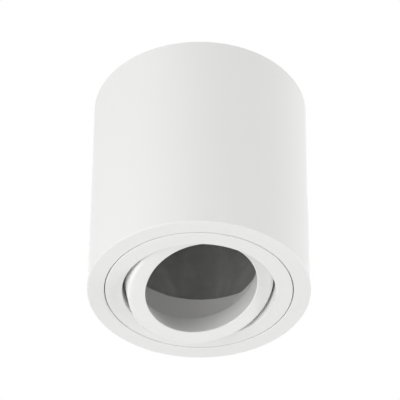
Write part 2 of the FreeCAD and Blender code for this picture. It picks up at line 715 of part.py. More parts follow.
def make_earth_tag():
    """Ring tag under the earth washer, with a barrel crimped on the earth lead."""
    z = roof_under - d.lock_washer_thickness - d.tag_thickness
    tag = new_body("earth_tag", earth_x, d.earth_y, z)
    half_neck = d.tag_neck_width / 2
    neck_end = -d.tag_barrel_start - d.tag_barrel_wall
    pad(tag, circle(new_sketch(tag, "XY_Plane"), ZERO, ZERO, d.tag_radius), d.tag_thickness)
    neck = new_sketch(tag, "XY_Plane")
    rectangle(neck, -half_neck, neck_end, half_neck, -d.tag_radius / 2)
    pad(tag, neck, d.tag_thickness)
    axis_z = d.tag_thickness / 2 - d.tag_barrel_drop
    bore = d.lead_radius + d.press_gap
    end = new_sketch(tag, "XZ_Plane", d.tag_barrel_start)
    pad(tag, circle(end, ZERO, axis_z, bore + d.tag_barrel_wall), d.tag_barrel_length)
    bore_end = new_sketch(tag, "XZ_Plane", d.tag_barrel_start + d.tag_barrel_wall)
    pocket(tag, circle(bore_end, ZERO, axis_z, bore))
    hole = circle(new_sketch(tag, "XY_Plane"), ZERO, ZERO, d.earth_screw_radius + d.stud_hole_gap)
    pocket(tag, hole)
    return tag


def make_earth_screw():
    """Pan head screw that clamps the earth tag to the roof."""
    head_under = roof_under - d.lock_washer_thickness - d.tag_thickness
    z = head_under - d.earth_head_height
    screw = new_body("earth_screw", earth_x, d.earth_y, z)
    tip = roof_top + d.screw_past_roof - z
    head = d.earth_head_height
    outline(new_sketch(screw, "XZ_Plane"), [
        (ZERO, ZERO), (d.earth_head_flat, ZERO), (d.earth_head_radius, head / 2),
        (d.earth_head_radius, head), (d.earth_screw_radius, head), (d.earth_screw_radius, tip),
        (ZERO, tip),
    ])
    revolve(screw, screw.Group[-1])
    half_length = d.earth_cross_length / 2
    half_width = d.earth_cross_width / 2
    for across, along in ((half_length, half_width), (half_width, half_length)):
        arm = rectangle(new_sketch(screw, "XY_Plane"), -across, -along, across, along)
        pocket(screw, arm, d.earth_cross_depth)
    return screw


# ---------------------------------------------------------------- lampholder


def make_lampholder_body():
    """Ceramic body of the lampholder: two twist-lock slots below, two contact chambers above."""
    body = new_body("lampholder_body", z=holder_face)
    disc = circle(new_sketch(body, "XY_Plane"), ZERO, ZERO, d.holder_radius)
    pad(body, disc, d.holder_body_height)
    entry = circle(new_sketch(body, "XY_Plane"), d.contact_spacing / 2, ZERO, d.pin_entry_radius)
    twist = twist_slot(new_sketch(body, "XY_Plane"))
    chamber = new_sketch(body, "XY_Plane", d.holder_face_thickness)
    rectangle(chamber, d.chamber_inner, -d.chamber_half_width, d.chamber_outer, d.chamber_half_width)
    through = d.holder_face_thickness + d.cut_past
    cuts = [pocket(body, entry, through), pocket(body, twist, through), pocket(body, chamber)]
    polar(body, cuts)
    pocket(body, rivet_holes(new_sketch(body, "XY_Plane"), d.rivet_radius))
    pocket(body, rivet_holes(new_sketch(body, "XY_Plane"), d.rivet_head_radius), d.rivet_head_height)
    return body


def twist_slot(sketch):
    """A curved slot round the middle that starts at a pin's entry and ends after the twist."""
    path = d.contact_spacing / 2
    half = d.twist_slot_width / 2
    twist = math.radians(d.twist_angle.number)
    flat = FreeCAD.Vector(0, 0, 1)
    middle = FreeCAD.Vector(0, 0, 0)
    rows = []
    for radius in (path + half, path - half):
        ring = Part.Circle(middle, flat, radius.number)
        row = sketch.addGeometry(Part.ArcOfCircle(ring, 0, twist))
        sketch.addConstraint(Sketcher.Constraint("Coincident", row, 3, -1, 1))
        rule = sketch.addConstraint(Sketcher.Constraint("Radius", row, radius.number))
        sketch.setExpression(f"Constraints[{rule}]", radius.text)
        rows.append(row)
    outer, inner = rows
    near = Part.LineSegment(sketch.Geometry[inner].StartPoint, sketch.Geometry[outer].StartPoint)
    near_row = sketch.addGeometry(near)
    far = Part.LineSegment(sketch.Geometry[outer].EndPoint, sketch.Geometry[inner].EndPoint)
    far_row = sketch.addGeometry(far)
    for first, second in (((near_row, 1), (inner, 1)), ((near_row, 2), (outer, 1)),
                          ((far_row, 1), (outer, 2)), ((far_row, 2), (inner, 2))):
        sketch.addConstraint(Sketcher.Constraint("Coincident", *first, *second))
    sketch.addConstraint(Sketcher.Constraint("Horizontal", near_row))
    swing = sketch.addConstraint(Sketcher.Constraint("Angle", near_row, 1, far_row, 2, twist))
    sketch.setExpression(f"Constraints[{swing}]", f"{d.twist_angle.text} * 1 deg")
    sketch.addConstraint(Sketcher.Constraint("PointOnObject", -1, 1, far_row))
    return sketch


def rivet_holes(sketch, radius):
    """Two circles for the lampholder's rivets, beside the line of the lamp pins."""
    for side in (-1, 1):
        circle(sketch, ZERO, d.rivet_offset * side, radius + d.press_gap)
    return sketch


def make_lampholder_cover():
    """Ceramic cover over the contacts, with a hole for each lead."""
    cover = new_body("lampholder_cover", z=holder_joint)
    height = d.holder_cover_height
    pad(cover, circle(new_sketch(cover, "XY_Plane"), ZERO, ZERO, d.holder_radius), height)
    soften(cover, d.holder_radius, height, d.holder_cover_round)
    holes = new_sketch(cover, "XY_Plane")
    for side in (-1, 1):
        circle(holes, d.lead_spacing / 2 * side, ZERO, d.lead_radius + d.lead_gap)
    pocket(cover, holes)
    pocket(cover, rivet_holes(new_sketch(cover, "XY_Plane"), d.rivet_radius))
    beds = new_sketch(cover, "XY_Plane", height - d.rivet_head_height)
    pocket(cover, rivet_holes(beds, d.rivet_head_radius))
    return cover


def make_lampholder_rivets():
    """Two rivets that hold the cover on the body, their heads flush."""
    rivets = new_body("lampholder_rivets", z=holder_face, many=True)
    height = d.holder_body_height + d.holder_cover_height
    head = d.rivet_head_height
    turned_fasteners(rivets, "YZ_Plane", d.rivet_offset, [
        (d.rivet_head_radius, ZERO), (d.rivet_head_radius, head), (d.rivet_radius, head),
        (d.rivet_radius, height - head), (d.rivet_head_radius, height - head),
        (d.rivet_head_radius, height),
    ])
    return rivets


def make_lampholder_contacts():
    """Two sprung strips in the chambers, each bent down beside a lamp pin's head."""
    contacts = new_body("lampholder_contacts", z=holder_face, many=True)
    top = d.holder_body_height
    thick = d.contact_thickness
    outer = d.chamber_outer - d.contact_wall_gap
    inner = d.chamber_inner + d.contact_wall_gap
    low = d.holder_face_thickness + d.contact_wall_gap
    strip = outline(new_sketch(contacts, "XZ_Plane"), [
        (inner, top), (outer, top), (outer, low), (outer - thick, low),
        (outer - thick, top - thick), (inner, top - thick),
    ])
    polar(contacts, [pad(contacts, strip, d.contact_width, both_ways=True)])
    return contacts


# ---------------------------------------------------------------- leads


def bend_radii(points):
    """The largest arc at each inner point of a route: half of a run between two bends may be
    used by each, and all of the first and last run."""
    radii = []
    last = len(points) - 2
    for index in range(1, len(points) - 1):
        before = points[index] - points[index - 1]
        after = points[index + 1] - points[index]
        free_before = before.Length * (END_RUN_SHARE if index == 1 else MIDDLE_RUN_SHARE)
        free_after = after.Length * (END_RUN_SHARE if index == last else MIDDLE_RUN_SHARE)
        turned = before.getAngle(after)
        radii.append(min(free_before, free_after) / math.tan(turned / 2))
    return radii


def route_edges(points):
    """Straight runs through the points, joined by the largest tangent arcs."""
    edges = []
    start = points[0]
    for index, radius in enumerate(bend_radii(points), 1):
        corner = points[index]
        back = (points[index - 1] - corner).normalize()
        ahead = (points[index + 1] - corner).normalize()
        half_turn = (math.pi - back.getAngle(ahead)) / 2
        reach = radius * math.tan(half_turn)
        arc_start = corner + back * reach
        arc_end = corner + ahead * reach
        inward = (back + ahead).normalize()
        centre = corner + inward * (radius / math.cos(half_turn))
        arc_middle = centre - inward * radius
        edges.append(Part.LineSegment(start, arc_start).toShape())
        edges.append(Part.Arc(arc_start, arc_middle, arc_end).toShape())
        start = arc_end
    edges.append(Part.LineSegment(start, points[-1]).toShape())
    return edges


def round_bar(edges, radius):
    """A round bar along joined edges, with its volume compared with section times length."""
    path = Part.Wire(edges)
    first = edges[0]
    start = first.valueAt(first.FirstParameter)
    direction = first.tangentAt(first.FirstParameter)
    section = Part.Wire([Part.makeCircle(radius, start, direction)])
    bar = path.makePipeShell([section], True, False)
    wanted = math.pi * radius**2 * path.Length
    if abs(bar.Volume / wanted - 1) > 0.01:
        raise ValueError("a bar's volume differs from its section times its length")
    return bar


def add_shape(label, shape, placement=None):
    """A sub-part made from Part's own functions."""
    piece = doc.addObject("Part::Feature", label)
    piece.Label = label
    piece.Shape = shape
    piece.Placement = placement or FreeCAD.Placement()
    return piece


def make_lead(label, pole, points):
    """An insulated lead that leaves the terminal block's rear at a pole. Its bare end lies in
    the brass tube."""
    x = d.pole_pitch.number * pole
    tube_end = -block_offset.number - d.tube_length.number / 2
    first = FreeCAD.Vector(x, tube_end, pole_z.number)
    route = [first] + points
    radii = ", ".join(f"{radius:.1f}" for radius in bend_radii(route))
    print(f"{label}: bend radii {radii} mm")
    sleeve = round_bar(route_edges(route), d.lead_radius.number)
    inward = FreeCAD.Vector(0, 1, 0)
    wire = Part.makeCylinder(d.conductor_radius.number, d.conductor_length.number, first, inward)
    return add_shape(label, sleeve.fuse(wire).removeSplitter())


def lead_turn_y():
    """Where the leads turn behind the terminal block, beside the can's side wall."""
    return d.lead_turn_gap.number - cavity_radius.number


def make_holder_lead(label, pole, foot_x, side):
    """A lead that runs down behind the block and arches over to the lampholder. Its bends are
    as large as the can leaves room for."""
    z = pole_z.number
    behind = lead_turn_y()
    foot_y = behind + d.lead_foot_in.number
    foot_z = z - d.lead_fall.number
    entry_x = d.lead_spacing.number / 2 * side
    arch_z = roof_under.number - d.block_height.number + d.lead_arch_height.number
    end_z = holder_top.number - d.lead_entry.number
    return make_lead(label, pole, [
        FreeCAD.Vector(d.pole_pitch.number * pole, behind, z),
        FreeCAD.Vector(foot_x.number, foot_y, foot_z),
        FreeCAD.Vector(entry_x, 0, arch_z),
        FreeCAD.Vector(entry_x, 0, end_z),
    ])


def make_earth_lead():
    """The lead that runs round the end of the block to the earth tag."""
    z = pole_z.number
    behind = lead_turn_y()
    first_x = d.pole_pitch.number
    side_x = first_x + d.earth_side_x.number
    side_z = z + d.earth_side_rise.number
    barrel_start = d.earth_y.number - d.tag_barrel_start.number
    run_start = barrel_start - d.tag_barrel_length.number - d.earth_tag_run.number
    end_y = barrel_start - d.tag_barrel_wall.number - d.lead_gap.number
    tag_middle = roof_under.number - d.lock_washer_thickness.number - d.tag_thickness.number / 2
    barrel_z = tag_middle - d.tag_barrel_drop.number
    return make_lead("earth_lead", 1, [
        FreeCAD.Vector(first_x, behind + d.earth_turn_in.number, z),
        FreeCAD.Vector(side_x, behind + d.earth_side_in.number, side_z),
        FreeCAD.Vector(earth_x.number, run_start, barrel_z),
        FreeCAD.Vector(earth_x.number, end_y, barrel_z),
    ])


# ---------------------------------------------------------------- trim ring


def make_grip_ring():
    """Split ring of spring steel round the skirt. Its leaves press on the can's collar, so it
    holds the trim in, and the trim turns inside it."""
    grip = new_body("grip_ring", z=bottom_face)
    turn(grip, trim_turn)
    low = d.trim_face_thickness + d.grip_end_gap
    high = low + d.grip_height
    outer = band_inner + d.grip_thickness
    revolve(grip, rectangle(new_sketch(grip, "XZ_Plane"), band_inner, low, outer, high))
    window = new_sketch(grip, "XZ_Plane")
    past = d.cut_past
    rectangle(window, band_inner - past, low + d.leaf_foot, outer + past, high - d.leaf_foot)
    opened = groove(grip, window, d.leaf_angle + d.leaf_slit * 2)
    polar(grip, [opened], d.leaf_count)
    crown = d.collar_radius - d.leaf_gap
    middle = (low + high) / 2
    half_crown = d.leaf_crown / 2
    foot = d.leaf_foot
    thick = d.grip_thickness
    leaf = outline(new_sketch(grip, "XZ_Plane"), [
        (band_inner, low + foot / 2), (outer, low + foot / 2), (crown, middle - half_crown),
        (crown, middle + half_crown), (outer, high - foot / 2), (band_inner, high - foot / 2),
        (band_inner, high - foot), (crown - thick, middle + half_crown),
        (crown - thick, middle - half_crown), (band_inner, low + foot),
    ])
    polar(grip, [revolve(grip, leaf, d.leaf_angle)], d.leaf_count)
    split = new_sketch(grip, "XZ_Plane")
    rectangle(split, -(outer + past), low - past, -(band_inner - past), high + past)
    groove(grip, split, d.grip_split)
    return grip


def make_trim_ring():
    """White ring flush with the can's bottom face, with a skirt that carries the pivot pins."""
    trim = new_body("trim_ring", z=bottom_face)
    turn(trim, trim_turn)
    hole = d.trim_hole_radius
    face = d.trim_face_thickness
    outline(new_sketch(trim, "XZ_Plane"), [
        (hole, ZERO), (trim_outer, ZERO), (trim_outer, face), (groove_radius, face),
        (groove_radius, groove_top), (skirt_outer, groove_top), (skirt_outer, d.skirt_height),
        (hole, d.skirt_height),
    ])
    revolve(trim, trim.Group[-1])
    soften(trim, trim_outer, ZERO, d.mouth_edge_round)
    soften(trim, hole, ZERO, d.mouth_edge_round)
    soften(trim, skirt_outer, d.skirt_height, d.skirt_edge_chamfer, "Chamfer")
    pins = circle(new_sketch(trim, "YZ_Plane"), ZERO, d.pivot_height, d.pin_radius + d.pin_press_gap)
    pocket(trim, pins, both_ways=True)
    return trim


def make_pivot_pins():
    """Two pins pressed into the skirt; the tilting ring turns on their inner ends."""
    pins = new_body("pivot_pins", z=bottom_face, many=True)
    turn(pins, trim_turn)
    end = new_sketch(pins, "YZ_Plane", d.pin_inner_end)
    circle(end, ZERO, d.pivot_height, d.pin_radius)
    length = groove_radius - d.pin_end_gap - d.pin_inner_end
    polar(pins, [pad(pins, end, length)])
    return pins


# ---------------------------------------------------------------- tilting ring


def tilting_body(label, many=False):
    """A body on the tilt axis, turned and tilted as the ring is shown."""
    body = new_body(label, z=pivot_z, many=many)
    turn(body, trim_turn, -d.tilt_angle.number)
    return body


def make_tilt_ring():
    """The ring that aims the light: a straight outer wall, a conical neck to the lamp's seat, a
    cored groove behind the front, and a boss for each pivot pin."""
    ring = tilting_body("tilt_ring")
    front = -d.front_depth
    rear = d.ring_rear_height
    groove_floor = front + d.front_wall
    outline(new_sketch(ring, "XZ_Plane"), [
        (d.opening_radius, front), (ring_outer, front), (ring_outer, d.front_depth),
        (rear_outer, rear), (lamp_wall, rear), (lamp_wall, groove_floor),
        (neck_outer, groove_floor), (neck_outer, seat_height), (d.neck_rear_radius, seat_height),
    ])
    revolve(ring, ring.Group[-1])
    soften(ring, ring_outer, front, d.front_edge_round)
    soften(ring, d.opening_radius, front, d.opening_edge_round)
    boss_low = front + d.front_wall / 2
    boss = new_sketch(ring, "XY_Plane", boss_low)
    rectangle(boss, neck_outer - d.boss_overlap, -d.boss_half_width,
              lamp_wall + d.boss_overlap, d.boss_half_width)
    polar(ring, [pad(ring, boss, d.boss_height - boss_low)])
    bore = new_sketch(ring, "YZ_Plane", d.pin_inner_end - d.pin_end_gap)
    circle(bore, ZERO, ZERO, d.pin_radius + d.pin_running_gap)
    seat = new_sketch(ring, "YZ_Plane", d.washer_seat_distance)
    circle(seat, ZERO, ZERO, d.washer_radius + d.washer_seat_gap)
    polar(ring, [pocket(ring, bore), pocket(ring, seat)])
    half_groove = d.clip_wire_radius + d.clip_gap
    clip_groove = new_sketch(ring, "XZ_Plane")
    rectangle(clip_groove, lamp_wall - d.cut_past, d.clip_height - half_groove,
              lamp_wall + d.clip_groove_depth, d.clip_height + half_groove)
    groove(ring, clip_groove)
    return ring


def make_friction_washers():
    """Washers round the pivot pins, between the tilting ring and the skirt, that hold the
    ring where it is set."""
    washers = tilting_body("friction_washers", many=True)
    face = new_sketch(washers, "YZ_Plane", d.washer_seat_distance + d.washer_gap)
    circle(face, ZERO, ZERO, d.washer_radius)
    circle(face, ZERO, ZERO, d.pin_radius + d.pin_running_gap)
    polar(washers, [pad(washers, face, d.washer_thickness)])
    return washers


def make_lamp_clip():
    """Open wire ring that holds a lamp in the tilting ring. Its ends bend inwards as ears."""
    wire = d.clip_wire_radius.number
    radius = lamp_wall.number + d.clip_groove_depth.number - d.clip_gap.number - wire
    bend = d.clip_bend_radius.number
    half_gap = math.radians(d.clip_opening.number / 2)
    ear = d.clip_ear_length.number
    ends = []
    for side in (1, -1):
        out = FreeCAD.Vector(math.cos(half_gap), side * math.sin(half_gap), 0)
        across = FreeCAD.Vector(math.sin(half_gap), -side * math.cos(half_gap), 0)
        centre = out * (radius - bend)
        middle = centre + (out + across).normalize() * bend
        start = centre + across * bend
        ends.append(SimpleNamespace(out=out * radius, middle=middle, start=start,
                                    tip=start - out * ear))
    first, last = ends
    far_side = FreeCAD.Vector(-radius, 0, 0)
    edges = [
        Part.LineSegment(first.tip, first.start).toShape(),
        Part.Arc(first.start, first.middle, first.out).toShape(),
        Part.Arc(first.out, far_side, last.out).toShape(),
        Part.Arc(last.out, last.middle, last.start).toShape(),
        Part.LineSegment(last.start, last.tip).toShape(),
    ]
    place = FreeCAD.Placement(FreeCAD.Vector(0, 0, pivot_z.number),
                              FreeCAD.Rotation(trim_turn, 0, -d.tilt_angle.number))
    own_turn = FreeCAD.Rotation(d.clip_heading.number - trim_turn, 0, 0)
    lift = FreeCAD.Placement(FreeCAD.Vector(0, 0, d.clip_height.number), own_turn)
    return add_shape("lamp_clip", round_bar(edges, wire), place.multiply(lift))


# ---------------------------------------------------------------- check and write


def check_document():
    """Stop if anything failed to build, or a sub-part is empty or not valid."""
    failed = [part.Label for part in doc.Objects if {"Invalid", "Error"} & set(part.State)]
    if failed:
        raise ValueError(f"failed to build: {failed}")
    pieces = [part for part in doc.Objects if part.TypeId in ("PartDesign::Body", "Part::Feature")]
    for piece in pieces:
        if piece.Shape.isNull() or not piece.Shape.isValid() or not piece.Shape.Solids:
            raise ValueError(f"{piece.Label} has no valid solid")
    return pieces


def main():
    make_housing_can()
    make_mounting_bracket()
    make_mounting_studs()
    make_stud_washers()
    make_stud_nuts()
    make_cable_grommet()
    make_terminal_block()
    make_terminal_tubes()
    make_terminal_screws()
    make_terminal_block_screws()
    make_earth_washer()
    make_earth_tag()
    make_earth_screw()
    make_lampholder_body()
    make_lampholder_cover()
    make_lampholder_rivets()
    make_lampholder_contacts()
    make_holder_lead("live_lead", -1, d.live_foot_x, -1)
    make_holder_lead("neutral_lead", 0, d.neutral_foot_x, 1)
    make_earth_lead()
    make_grip_ring()
    make_trim_ring()
    make_pivot_pins()
    make_tilt_ring()
    make_friction_washers()
    make_lamp_clip()
    doc.recompute()
    os.makedirs("parts", exist_ok=True)
    for piece in check_document():
        piece.Shape.exportStep(f"parts/{piece.Label}.step")
        print(f"{piece.Label}: {len(piece.Shape.Solids)} solid(s), {piece.Shape.Volume:.1f} mm3")


main()
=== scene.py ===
import math

import bmesh
import bpy
import numpy as np
from mathutils import Matrix, Vector, geometry


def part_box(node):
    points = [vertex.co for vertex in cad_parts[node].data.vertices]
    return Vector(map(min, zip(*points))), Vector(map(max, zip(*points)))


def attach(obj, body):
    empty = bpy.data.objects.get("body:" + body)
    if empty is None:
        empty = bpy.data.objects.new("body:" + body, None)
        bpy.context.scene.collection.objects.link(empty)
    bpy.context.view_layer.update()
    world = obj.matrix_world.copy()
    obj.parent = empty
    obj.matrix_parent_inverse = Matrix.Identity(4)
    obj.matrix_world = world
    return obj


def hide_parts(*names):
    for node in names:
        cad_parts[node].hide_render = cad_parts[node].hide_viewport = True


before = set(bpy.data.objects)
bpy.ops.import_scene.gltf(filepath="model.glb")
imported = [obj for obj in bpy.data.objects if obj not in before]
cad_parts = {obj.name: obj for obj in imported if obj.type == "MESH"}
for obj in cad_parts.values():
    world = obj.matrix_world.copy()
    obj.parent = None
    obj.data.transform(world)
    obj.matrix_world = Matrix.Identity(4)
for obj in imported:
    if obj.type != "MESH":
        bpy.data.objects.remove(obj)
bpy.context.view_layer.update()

# A white surface mounted ceiling spotlight: a round can, a trim ring in its mouth, and a
# tilting ring that holds the lamp. Shapes are worked out in millimetres, with the ceiling at
# height 0, and become metres when they are put into a mesh.

MM = 0.001
TURNS = 288    # points round each large turned surface


def middle_of(node):
    """Middle of a solid at rest, in millimetres."""
    low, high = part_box(node)
    return np.array((low + high) / 2) / MM


# ---------------------------------------------------------------- sizes shared with the solids

# The can. Its mouth is the step at the bottom edge, and the collar is the narrower bore behind
# it, where the spring ring holds the trim.
CAN_RADIUS, CAN_HEIGHT = 40.0, 85.0
BOTTOM = -CAN_HEIGHT
MOUTH_RADIUS, MOUTH_DEPTH = 33.85, 3.1
COLLAR_RADIUS, COLLAR_TOP = 31.5, 9.0
INSIDE_RADIUS, RECESS_RADIUS = 37.6, 37.5
ROOF_TOP, ROOF_UNDER = -6.0, -8.5

# The tilting ring's pins: their height over the bottom edge and the angle of their line from
# +X. The ring is tilted about them at rest.
PIVOT_HEIGHT = 5.6
TURN = math.radians(40.0)
TILT = math.radians(-16.3)

# What is fixed to the roof, and the lampholder below it.
STUD_X = 27.0
CABLE_Y = 20.0
BLOCK_Y, BLOCK_LOW = -20.0, -21.5
POLES = (-9.4, 0.0, 9.4)
POLE_Z = -15.5
BLOCK_SCREW_X = 4.7
EARTH_X, EARTH_Y = middle_of("earth_screw")[:2]
HOLDER_TOP, HOLDER_FACE = -33.0, -51.0
RIVET_Y = 8.8
LEAD_X = 4.0
LEAD_RADIUS = 1.1

TRIM_PLACE = Matrix.Translation((0.0, 0.0, BOTTOM)) @ Matrix.Rotation(TURN, 4, "Z")
RING_PLACE = (Matrix.Translation((0.0, 0.0, BOTTOM + PIVOT_HEIGHT))
              @ Matrix.Rotation(TURN, 4, "Z") @ Matrix.Rotation(TILT, 4, "X"))


# ---------------------------------------------------------------- shapes

class Form:
    """Points in millimetres, faces and an edge mask, before they become a mesh. The mask says
    how much a point wears: 1 on the rounds of edges, 0.5 in plain bores and 0 on faces."""

    def __init__(self, points, faces, edge=None):
        self.points = np.asarray(points, float).reshape(-1, 3)
        self.faces = [np.asarray(part) for part in faces]
        count = len(self.points)
        self.edge = np.zeros(count) if edge is None else np.asarray(edge, float).reshape(count)

    def placed(self, matrix):
        """The same shape after a placement."""
        m = np.array(matrix)
        return Form(self.points @ m[:3, :3].T + m[:3, 3], self.faces, self.edge)

    def moved(self, x=0.0, y=0.0, z=0.0):
        return self.placed(Matrix.Translation((x, y, z)))


def joined(forms):
    """Several shapes as one: points are chained, and faces count on from the shape before."""
    starts = np.cumsum([0] + [len(form.points) for form in forms])
    faces = [part + start for form, start in zip(forms, starts) for part in form.faces]
    return Form(np.vstack([form.points for form in forms]), faces,
                np.concatenate([form.edge for form in forms]))


def rounded_profile(corners, closed=True, step=0.12, guard=0.12):
    """A chain of (radius, height, round) corners as points and an edge mask.

    Each corner is cut by an arc that touches both of its sides: the arc starts at the
    corner plus back * reach, with reach = round / tan(half angle), and turns about the
    centre on the bisector. A long straight side then gets a point close to each of its
    ends, so that the shading of a round doesn't run into it."""
    corners = np.array([(*c, 0.0)[:3] for c in corners], float)
    points, mask = [], []
    ends = () if closed else (0, len(corners) - 1)
    for index, (x, y, size) in enumerate(corners):
        here = np.array([x, y])
        if size <= 0 or index in ends:
            points.append(here[None])
            mask.append(np.zeros(1))
            continue
        back = corners[index - 1, :2] - here
        ahead = corners[(index + 1) % len(corners), :2] - here
        back /= np.linalg.norm(back)
        ahead /= np.linalg.norm(ahead)
        half = math.acos(np.clip(back @ ahead, -1, 1)) / 2
        centre = here + (back + ahead) / np.linalg.norm(back + ahead) * size / math.sin(half)
        start = here + back * size / math.tan(half) - centre
        sweep = math.pi - 2 * half
        if start[0] * (here - centre)[1] - start[1] * (here - centre)[0] < 0:
            sweep = -sweep
        count = max(4, int(abs(sweep) * size / step) + 2)
        turn = np.linspace(0, sweep, count)
        arc = np.stack([start[0] * np.cos(turn) - start[1] * np.sin(turn),
                        start[0] * np.sin(turn) + start[1] * np.cos(turn)], 1)
        points.append(arc + centre)
        mask.append(np.ones(count))
    points, mask = np.concatenate(points), np.concatenate(mask)
    side = np.roll(points, -1, 0) - points
    length = np.linalg.norm(side, axis=1)
    has_next = closed | (np.arange(len(points)) < len(points) - 1)
    long = np.flatnonzero((length > 4 * guard) & has_next)
    toward = side[long] / length[long, None] * guard
    order = np.concatenate([np.arange(len(points)), long + 0.25, long + 0.75])
    points = np.concatenate([points, points[long] + toward, points[long] + side[long] - toward])
    mask = np.concatenate([mask, np.zeros(2 * len(long))])
    order = np.argsort(order)
    return points[order], mask[order]


def around(turns):
    """Evenly spaced angles of one full turn."""
    return np.linspace(0, 2 * math.pi, turns, endpoint=False)


def grid_faces(rows, columns, close_rows, close_columns):
    """Quads of a rows x columns grid of points: each joins a point with the next one
    along its row and the two above them, with wrap where a direction is closed."""
    i = np.arange(rows if close_rows else rows - 1)
    j = np.arange(columns if close_columns else columns - 1)
    i, j = (a.ravel() for a in np.meshgrid(i, j, indexing="ij"))
    ni, nj = (i + 1) % rows, (j + 1) % columns
    return np.stack([i * columns + j, i * columns + nj, ni * columns + nj, ni * columns + j], 1)


def at_angles(radius, height, angle):
    """Points of a turn about Z: (radius cos t, radius sin t, height) at each angle t."""
    return np.stack([radius * np.cos(angle), radius * np.sin(angle), height + 0 * angle], -1)


def revolved(profile, turns):
    """Each (radius, height) of a profile at evenly spaced angles of one turn."""
    return at_angles(profile[:, :1], profile[:, 1:], around(turns))


def hooped(rows, edge=None):
    """Rows of points joined into a closed hoop: the last row joins the first."""
    return Form(rows, [grid_faces(*rows.shape[:2], True, True)], edge)


def capped(rows, edge=None, poles=None):
    """Rows of points joined into a tube, closed at both ends by fans to two poles."""
    count, turns = rows.shape[:2]
    poles = rows[[0, -1]].mean(1) if poles is None else poles
    edge = np.zeros(count * turns) if edge is None else np.ravel(edge)
    ring = np.arange(turns)
    ahead = (ring + 1) % turns
    low, high, last = count * turns, count * turns + 1, (count - 1) * turns
    fans = [np.stack([ring * 0 + low, ahead, ring], 1),
            np.stack([ring * 0 + high, last + ring, last + ahead], 1)]
    return Form(np.vstack([rows.reshape(-1, 3), poles]),
                [grid_faces(count, turns, False, True)] + fans, np.append(edge, [0, 0]))


def turned(corners, turns=TURNS, step=0.12):
    """A surface of revolution about Z. A profile that starts and ends on the axis becomes a
    solid piece with two poles, and any other one a ring."""
    solid = corners[0][0] == 0
    profile, mask = rounded_profile(corners, not solid, step)
    if not solid:
        return hooped(revolved(profile, turns), np.repeat(mask, turns))
    rows = revolved(profile[1:-1], turns)
    poles = np.column_stack([np.zeros((2, 2)), profile[[0, -1], 1]])
    return capped(rows, np.repeat(mask[1:-1], turns), poles)


def thread(radius, low, high, pitch=0.7, depth=0.3, turns=40):
    """A threaded rod along Z: radius - depth * w, where w falls and rises in a straight line
    once a pitch and its phase follows the angle, with a cone of 45 degrees at both ends. The
    crests are marked as edges."""
    rows_a_pitch, crest = 8, 0.1
    height = np.linspace(low, high, int((high - low) / pitch * rows_a_pitch) + 2)[:, None]
    angle = around(turns)
    phase = (height / pitch - angle / (2 * math.pi)) % 1
    groove = np.clip(np.abs(2 * phase - 1) * 1.3 - 0.15, 0, 1)
    reach = np.minimum(height - low, high - height)
    size = np.minimum(radius - depth * groove, radius - 1.4 * depth + reach)
    return capped(at_angles(size, height, angle), groove < crest)


def hex_nut(across, bore, low, high, turns=144):
    """A hexagon nut along Z. Its side is at half the width / cos(angle from the middle of a
    flat), held under a cone that opens from each face; the bore has a chamfer at both ends."""
    half, chamfer = across / 2, 0.35
    cone_start, cone_slope, cone_rise = 0.96, 1.7, 0.6
    angle = around(turns)
    hexagon = half / np.cos((angle + math.pi / 6) % (math.pi / 3) - math.pi / 6)
    rise = np.concatenate([np.linspace(0, cone_rise, 9),
                           (high - low) - np.linspace(cone_rise, 0, 9)])
    reach = np.minimum(rise, high - low - rise)[:, None]
    side = np.minimum(hexagon, half * cone_start + cone_slope * reach)
    bored = np.array([[bore, low + chamfer], [bore + chamfer, low]])
    radius = np.vstack([bored[:, :1] + 0 * angle, side, bored[::-1, :1] + 0 * angle])
    height = np.concatenate([bored[:, 1], low + rise, low + high - bored[::-1, 1]])[:, None]
    return hooped(at_angles(radius, height, angle), np.abs(radius - hexagon) > 0.02)


def toothed_washer(outer, bore, low, high, teeth=12):
    """An external tooth lock washer: between two teeth the outer radius falls to a root, and
    each tooth is twisted, so that its height leans with the angle inside the tooth. A row of
    the section is (radius, side of the sheet, share of the lean)."""
    angle = around(teeth * 16)
    place = angle * teeth / (2 * math.pi) % 1
    tooth_half, tooth_flank, tooth_length = 0.42, 0.08, 1.3
    tooth = np.clip((tooth_half - np.abs(place - 0.5)) / tooth_flank, 0, 1)
    sheet = (high - low) * 0.62
    lean = (place - 0.5) * 2 * tooth * (high - low - sheet) / 2
    root = outer - tooth_length
    tip = root + tooth_length * tooth
    band, lip = root - 0.3, tip - 0.1
    middle = (low + high) / 2
    rows = []
    for radius, side, share in ((bore, -1, 0), (band, -1, 0), (lip, -1, 1), (tip, -0.6, 1),
                                (tip, 0.6, 1), (lip, 1, 1), (band, 1, 0), (bore, 1, 0)):
        height = middle + side * sheet / 2 + lean * share
        rows.append(at_angles(radius, height, angle))
    return hooped(np.stack(rows))


